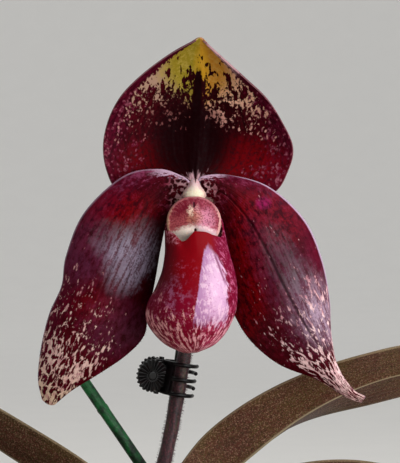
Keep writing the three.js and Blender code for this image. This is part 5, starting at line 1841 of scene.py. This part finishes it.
# blocks: length, then width and thickness as shares of it, squareness, roughness, lean and lift over the mix
CHIP = {
    "length": (6.5, 15), "width": (0.4, 0.75), "thickness": (0.18, 0.36), "power": (0.3, 0.5), "rough": 0.35,
    "lean": 0.45, "lift": (-1.4, 1.6), "seed": 100,
}
GRAIN = {
    "length": (2.2, 4.6), "width": (0.7, 1), "thickness": (0.6, 0.9), "power": 0.7, "rough": 0.3,
    "lean": 1.2, "lift": (1.2, 2.8), "seed": 600,
}



def ceiling(points):
    """The height that chips keep below, so that the leaves' feet stay clear."""
    x, y = points[:, 0] - CROWN_X, points[:, 1]
    past = np.maximum(0, np.abs(x) - LEAF_FEET["half_length"])
    low = np.minimum(MIX_TOP + LEAF_FEET["lift"] + past * LEAF_FEET["slope"], LEAF_FEET["most"])
    return np.where(np.abs(y) < LEAF_FEET["half_width"], low, LEAF_FEET["most"])


def lump(random, size, power, rough, seed):
    """An irregular block with worn edges. size is its length, width and thickness."""
    turn = full_turn(18)[None, :]
    lift = np.linspace(-0.5, 0.5, 11)[1:-1, None] * np.pi

    def shaped(value):
        return np.sign(value) * np.abs(value) ** power

    level_reach = shaped(np.cos(lift))
    sides = level_reach * shaped(np.cos(turn)), level_reach * shaped(np.sin(turn)), shaped(np.sin(lift))
    form = rings(np.stack(np.broadcast_arrays(*sides), axis=-1) * np.asarray(size) / 2)
    taper = 1 - 0.3 * random.uniform() * (form.points[:, :1] / size[0] + 0.5)
    form.points = form.points * np.hstack([np.ones_like(taper), taper, taper])
    form.points[:, 1] += random.uniform(-0.12, 0.12) * form.points[:, 0]
    shake = ripple(form.points, max(size) * 0.55, seed, 3)[:, None]
    form.points = form.points + unit(form.points) * shake * rough
    form.marks = np.tile([random.uniform(), random.uniform(), random.uniform()], (len(form.points), 1))
    return form


def tilt(random, most):
    """A random turn: any spin about the vertical, and a lean of up to the given radians."""
    spin, lean, way = random.uniform(0, 2 * np.pi), random.uniform(0, most), random.uniform(0, 2 * np.pi)
    axis = np.array([math.cos(way), math.sin(way), 0])
    cross = np.array([[0, 0, axis[1]], [0, 0, -axis[0]], [-axis[1], axis[0], 0]])
    leaned = np.eye(3) + math.sin(lean) * cross + (1 - math.cos(lean)) * cross @ cross
    return leaned @ about_z(math.degrees(spin))


def strew(random, count, make, block):
    """Blocks spread evenly over the mix, each kept inside the pot and under the leaves' feet."""
    forms = []
    for k in range(count):
        reach = MIX_REACH * math.sqrt((k + 0.5) / count)
        angle = k * GOLDEN_TURN + random.uniform(-0.3, 0.3)
        form = make(k)
        place = [reach * math.cos(angle), reach * math.sin(angle), MIX_TOP + random.uniform(*block["lift"])]
        form = form.moved(place, tilt(random, block["lean"]))
        points = form.points
        span = np.linalg.norm(points[:, :2], axis=1)
        most = inside_radius(points[:, 2]) - MIX_GAP
        points[:, :2] *= np.minimum(1, most / np.maximum(span, 1e-6))[:, None]
        points[:, 2] = np.minimum(points[:, 2], ceiling(points) + 0.15 * np.sin(points[:, 0] * 3))
        forms.append(form)
    return forms


def bark_finish():
    c = bpy.context.scene.orchid_holder
    f = Finish("bark_chips")
    tone, shade, _ = f.marks()
    cloud = f.grain(0.35, 4, 0.65)
    layers = f.noise(f.vector(tone * 40, shade * 40), 1)
    grain = f.grain(1.6, 4, 0.75)
    f.skin = f.mix(tone, c.bark, rgb(150, 98, 62))
    f.paint(f.step(shade, 0.55, 1) * 0.7, rgb(66, 40, 28))
    f.paint(f.step(grain, 0.52, 0.7) * 0.6, rgb(52, 30, 22))
    f.paint(f.step(cloud + layers * 0.1, 0.58, 0.75) * 0.4, rgb(168, 124, 88))
    return f.surface(Roughness=0.75 + grain * 0.2, Normal=f.bump(grain, 0.45), Specular_IOR_Level=0.25)


def build_bark():
    settings = bpy.context.scene.orchid_holder
    random = np.random.default_rng(MIX_SEED)
    bottom, top = POT["floor"] + 0.3, MIX_TOP - BED_DROP
    walls = [[inside_radius(z) - MIX_GAP, z] for z in (bottom, top)]
    profile = [[0, bottom], *walls, [0, top + 0.3]]
    forms = [lathe(rounded(profile, 0.8, 2, 4), 72, lambda r, z, a: 0.15 * np.sin(7 * a + z) - 0.15)]

    def size_of(block):
        length = random.uniform(*block["length"])
        return length, *(length * random.uniform(*block[side]) for side in ("width", "thickness"))

    def chip(k):
        size = size_of(CHIP)
        return lump(random, size, random.uniform(*CHIP["power"]), CHIP["rough"], CHIP["seed"] + k)

    forms += strew(random, settings.chips, chip, CHIP)
    piece("bark_mix_chips", Form.together(forms), bark_finish(), ["bark_mix"], crease=70)

    def grain(k):
        return lump(random, size_of(GRAIN), GRAIN["power"], GRAIN["rough"], GRAIN["seed"] + k)

    f = Finish("pumice_grain")
    fine = f.grain(1.6, 4, 0.75)
    colour = f.mix(f.step(fine, 0.4, 0.65), rgb(206, 198, 182), rgb(150, 138, 118))
    pumice = f.surface(
        Base_Color=colour, Roughness=0.85 + fine * 0.1, Normal=f.bump(fine, 0.5), Specular_IOR_Level=0.2
    )
    grains = strew(random, settings.grains, grain, GRAIN)
    piece("pumice_grains", Form.together(grains), pumice)


# ---- stage
AIM = Vector((12.6, -12, 188.6)) * MM
VIEW_HEIGHT = 138.9 * MM  # what the camera takes in at the flower
SENSOR_WIDTH = 36
FAR = 50  # the camera sees past the backdrop
FLOOR_RINGS, COVE_RADIUS, WALL_HEIGHTS = (400, 1200, 2200, 3000), 1600, (2200, 3400, 5000)
FLOOR_SIDES = 96
GLOW = (-1500, 2600)  # from the dark foreground to the evenly lit backdrop
KEY_BOX = (46, 28, 0.8, (0.8, 1.25))  # azimuth, elevation, distance and size
BACK_BOX = (165, 58, 1.2, (0.9, 0.5))


def area_light(name, azimuth, elevation, distance, size, power):
    """A softbox that looks at the flower. Azimuth 0 is the camera's own side, and 90 is to its right."""
    data = bpy.data.lights.new(name, "AREA")
    data.shape, data.size, data.size_y = "RECTANGLE", *size
    data.energy = power
    lamp = bpy.data.objects.new(name, data)
    side, up = math.radians(azimuth), math.radians(elevation)
    way = Vector((math.sin(side) * math.cos(up), -math.cos(side) * math.cos(up), math.sin(up)))
    lamp.location = AIM + way * distance
    lamp.rotation_euler = (-way).to_track_quat("-Z", "Y").to_euler()
    lamp.visible_camera = False
    bpy.context.scene.collection.objects.link(lamp)


def build_stage():
    settings = bpy.context.scene.orchid_studio
    scene = bpy.context.scene
    scene.view_settings.view_transform = "Standard"
    profile, edge = [(reach, 0) for reach in FLOOR_RINGS], FLOOR_RINGS[-1]
    for bend in np.linspace(0, math.pi / 2, 14)[1:]:
        profile.append((edge + COVE_RADIUS * math.sin(bend), COVE_RADIUS * (1 - math.cos(bend))))
    profile += [(edge + COVE_RADIUS, height) for height in WALL_HEIGHTS]
    reach, height = np.array(profile).T[..., None]
    rows = about_axis(reach, full_turn(FLOOR_SIDES), height)
    points = np.vstack([rows.reshape(-1, 3), [[0, 0, 0]]])
    middle = fan(len(points) - 1, np.arange(FLOOR_SIDES))
    ground = Form(points, [grid_faces(len(rows), FLOOR_SIDES, wrap=True)[:, ::-1], middle])
    f = Finish("studio_floor")
    _, y, z = f.parts(f.spot())
    paper = f.grain(0.02, 3)
    colour = f.mix(paper, settings.floor, rgb(211, 209, 204))
    glow = f.mix(f.step(y + z, *GLOW), (0, 0, 0), rgb(138, 138, 138))
    paint = f.surface(
        Base_Color=colour, Roughness=0.9, Specular_IOR_Level=0.1, Emission_Color=glow, Emission_Strength=1
    )
    floor = make_object("studio_floor", ground, paint)
    world = bpy.data.worlds.new("studio")
    world.use_nodes = True
    back = world.node_tree.nodes["Background"]
    back.inputs["Color"].default_value = (*rgb(236, 238, 242), 1)
    back.inputs["Strength"].default_value = settings.fill
    scene.world = world
    area_light("key_softbox", *KEY_BOX, settings.key_power)
    area_light("back_softbox", *BACK_BOX, settings.back_power)
    camera = bpy.data.objects.new("camera", bpy.data.cameras.new("camera"))
    camera.data.sensor_width = SENSOR_WIDTH
    camera.data.lens = SENSOR_WIDTH * settings.distance / VIEW_HEIGHT
    camera.location = AIM - Vector((0, settings.distance, 0))
    camera.rotation_euler = (math.pi / 2, 0, 0)
    camera.data.clip_end = FAR
    scene.collection.objects.link(camera)
    scene.camera = camera


# ---- operators
class ORCHID_OT_sepals(bpy.types.Operator):
    """Build the dorsal and the lower sepal"""

    bl_idname = "orchid.sepals"
    bl_label = "Sepals"

    def execute(self, context):
        build_sepals()
        return {"FINISHED"}


class ORCHID_OT_petals(bpy.types.Operator):
    """Build both petals with their margin hairs"""

    bl_idname = "orchid.petals"
    bl_label = "Petals"

    def execute(self, context):
        build_petals()
        return {"FINISHED"}


class ORCHID_OT_pouch(bpy.types.Operator):
    """Build the slipper-shaped lip"""

    bl_idname = "orchid.pouch"
    bl_label = "Pouch"

    def execute(self, context):
        build_pouch()
        return {"FINISHED"}


class ORCHID_OT_shield(bpy.types.Operator):
    """Build the column with its shield"""

    bl_idname = "orchid.shield"
    bl_label = "Shield"

    def execute(self, context):
        build_shield()
        return {"FINISHED"}


class ORCHID_OT_stem(bpy.types.Operator):
    """Build scape, ovary and bract with their hairs"""

    bl_idname = "orchid.stem"
    bl_label = "Stem"

    def execute(self, context):
        build_stem()
        return {"FINISHED"}


class ORCHID_OT_leaves(bpy.types.Operator):
    """Build the six leaves"""

    bl_idname = "orchid.leaves"
    bl_label = "Leaves"

    def execute(self, context):
        build_leaves()
        return {"FINISHED"}


class ORCHID_OT_crown(bpy.types.Operator):
    """Build the crown and its roots"""

    bl_idname = "orchid.crown"
    bl_label = "Crown"

    def execute(self, context):
        build_crown()
        return {"FINISHED"}


class ORCHID_OT_canes(bpy.types.Operator):
    """Build the green cane and the flower stake"""

    bl_idname = "orchid.canes"
    bl_label = "Canes"

    def execute(self, context):
        build_canes()
        return {"FINISHED"}


class ORCHID_OT_clip(bpy.types.Operator):
    """Build the claw clip and its spring"""

    bl_idname = "orchid.clip"
    bl_label = "Clip"

    def execute(self, context):
        build_clip()
        return {"FINISHED"}


class ORCHID_OT_pot(bpy.types.Operator):
    """Build the clay pot"""

    bl_idname = "orchid.pot"
    bl_label = "Pot"

    def execute(self, context):
        build_pot()
        return {"FINISHED"}


class ORCHID_OT_bark(bpy.types.Operator):
    """Build the bark chips and pumice grains"""

    bl_idname = "orchid.bark"
    bl_label = "Bark mix"

    def execute(self, context):
        build_bark()
        return {"FINISHED"}


class ORCHID_OT_stage(bpy.types.Operator):
    """Build floor, lights and camera"""

    bl_idname = "orchid.stage"
    bl_label = "Stage"

    def execute(self, context):
        build_stage()
        return {"FINISHED"}


OPERATORS = [
    ORCHID_OT_sepals, ORCHID_OT_petals, ORCHID_OT_pouch, ORCHID_OT_shield, ORCHID_OT_stem, ORCHID_OT_leaves,
    ORCHID_OT_crown, ORCHID_OT_canes, ORCHID_OT_clip, ORCHID_OT_pot, ORCHID_OT_bark, ORCHID_OT_stage,
]


class ORCHID_PT_panel(bpy.types.Panel):
    """Lists the orchid's operators and settings"""

    bl_label = "Slipper orchid"
    bl_space_type = "VIEW_3D"
    bl_region_type = "UI"
    bl_category = "Orchid"

    def draw(self, context):
        for one in OPERATORS:
            self.layout.operator(one.bl_idname)
        for key, group in SETTINGS.items():
            box = self.layout.box()
            for name in group.__annotations__:
                box.prop(getattr(context.scene, key), name)


CLASSES = [*SETTINGS.values(), *OPERATORS, ORCHID_PT_panel]


def register():
    for one in CLASSES:
        bpy.utils.register_class(one)
    for key, group in SETTINGS.items():
        setattr(bpy.types.Scene, key, PointerProperty(type=group))


def unregister():
    for key in SETTINGS:
        delattr(bpy.types.Scene, key)
    for one in reversed(CLASSES):
        bpy.utils.unregister_class(one)


def main():
    register()
    for one in OPERATORS:
        getattr(bpy.ops.orchid, one.bl_idname.split(".")[1])()


if __name__ == "__main__":
    main()
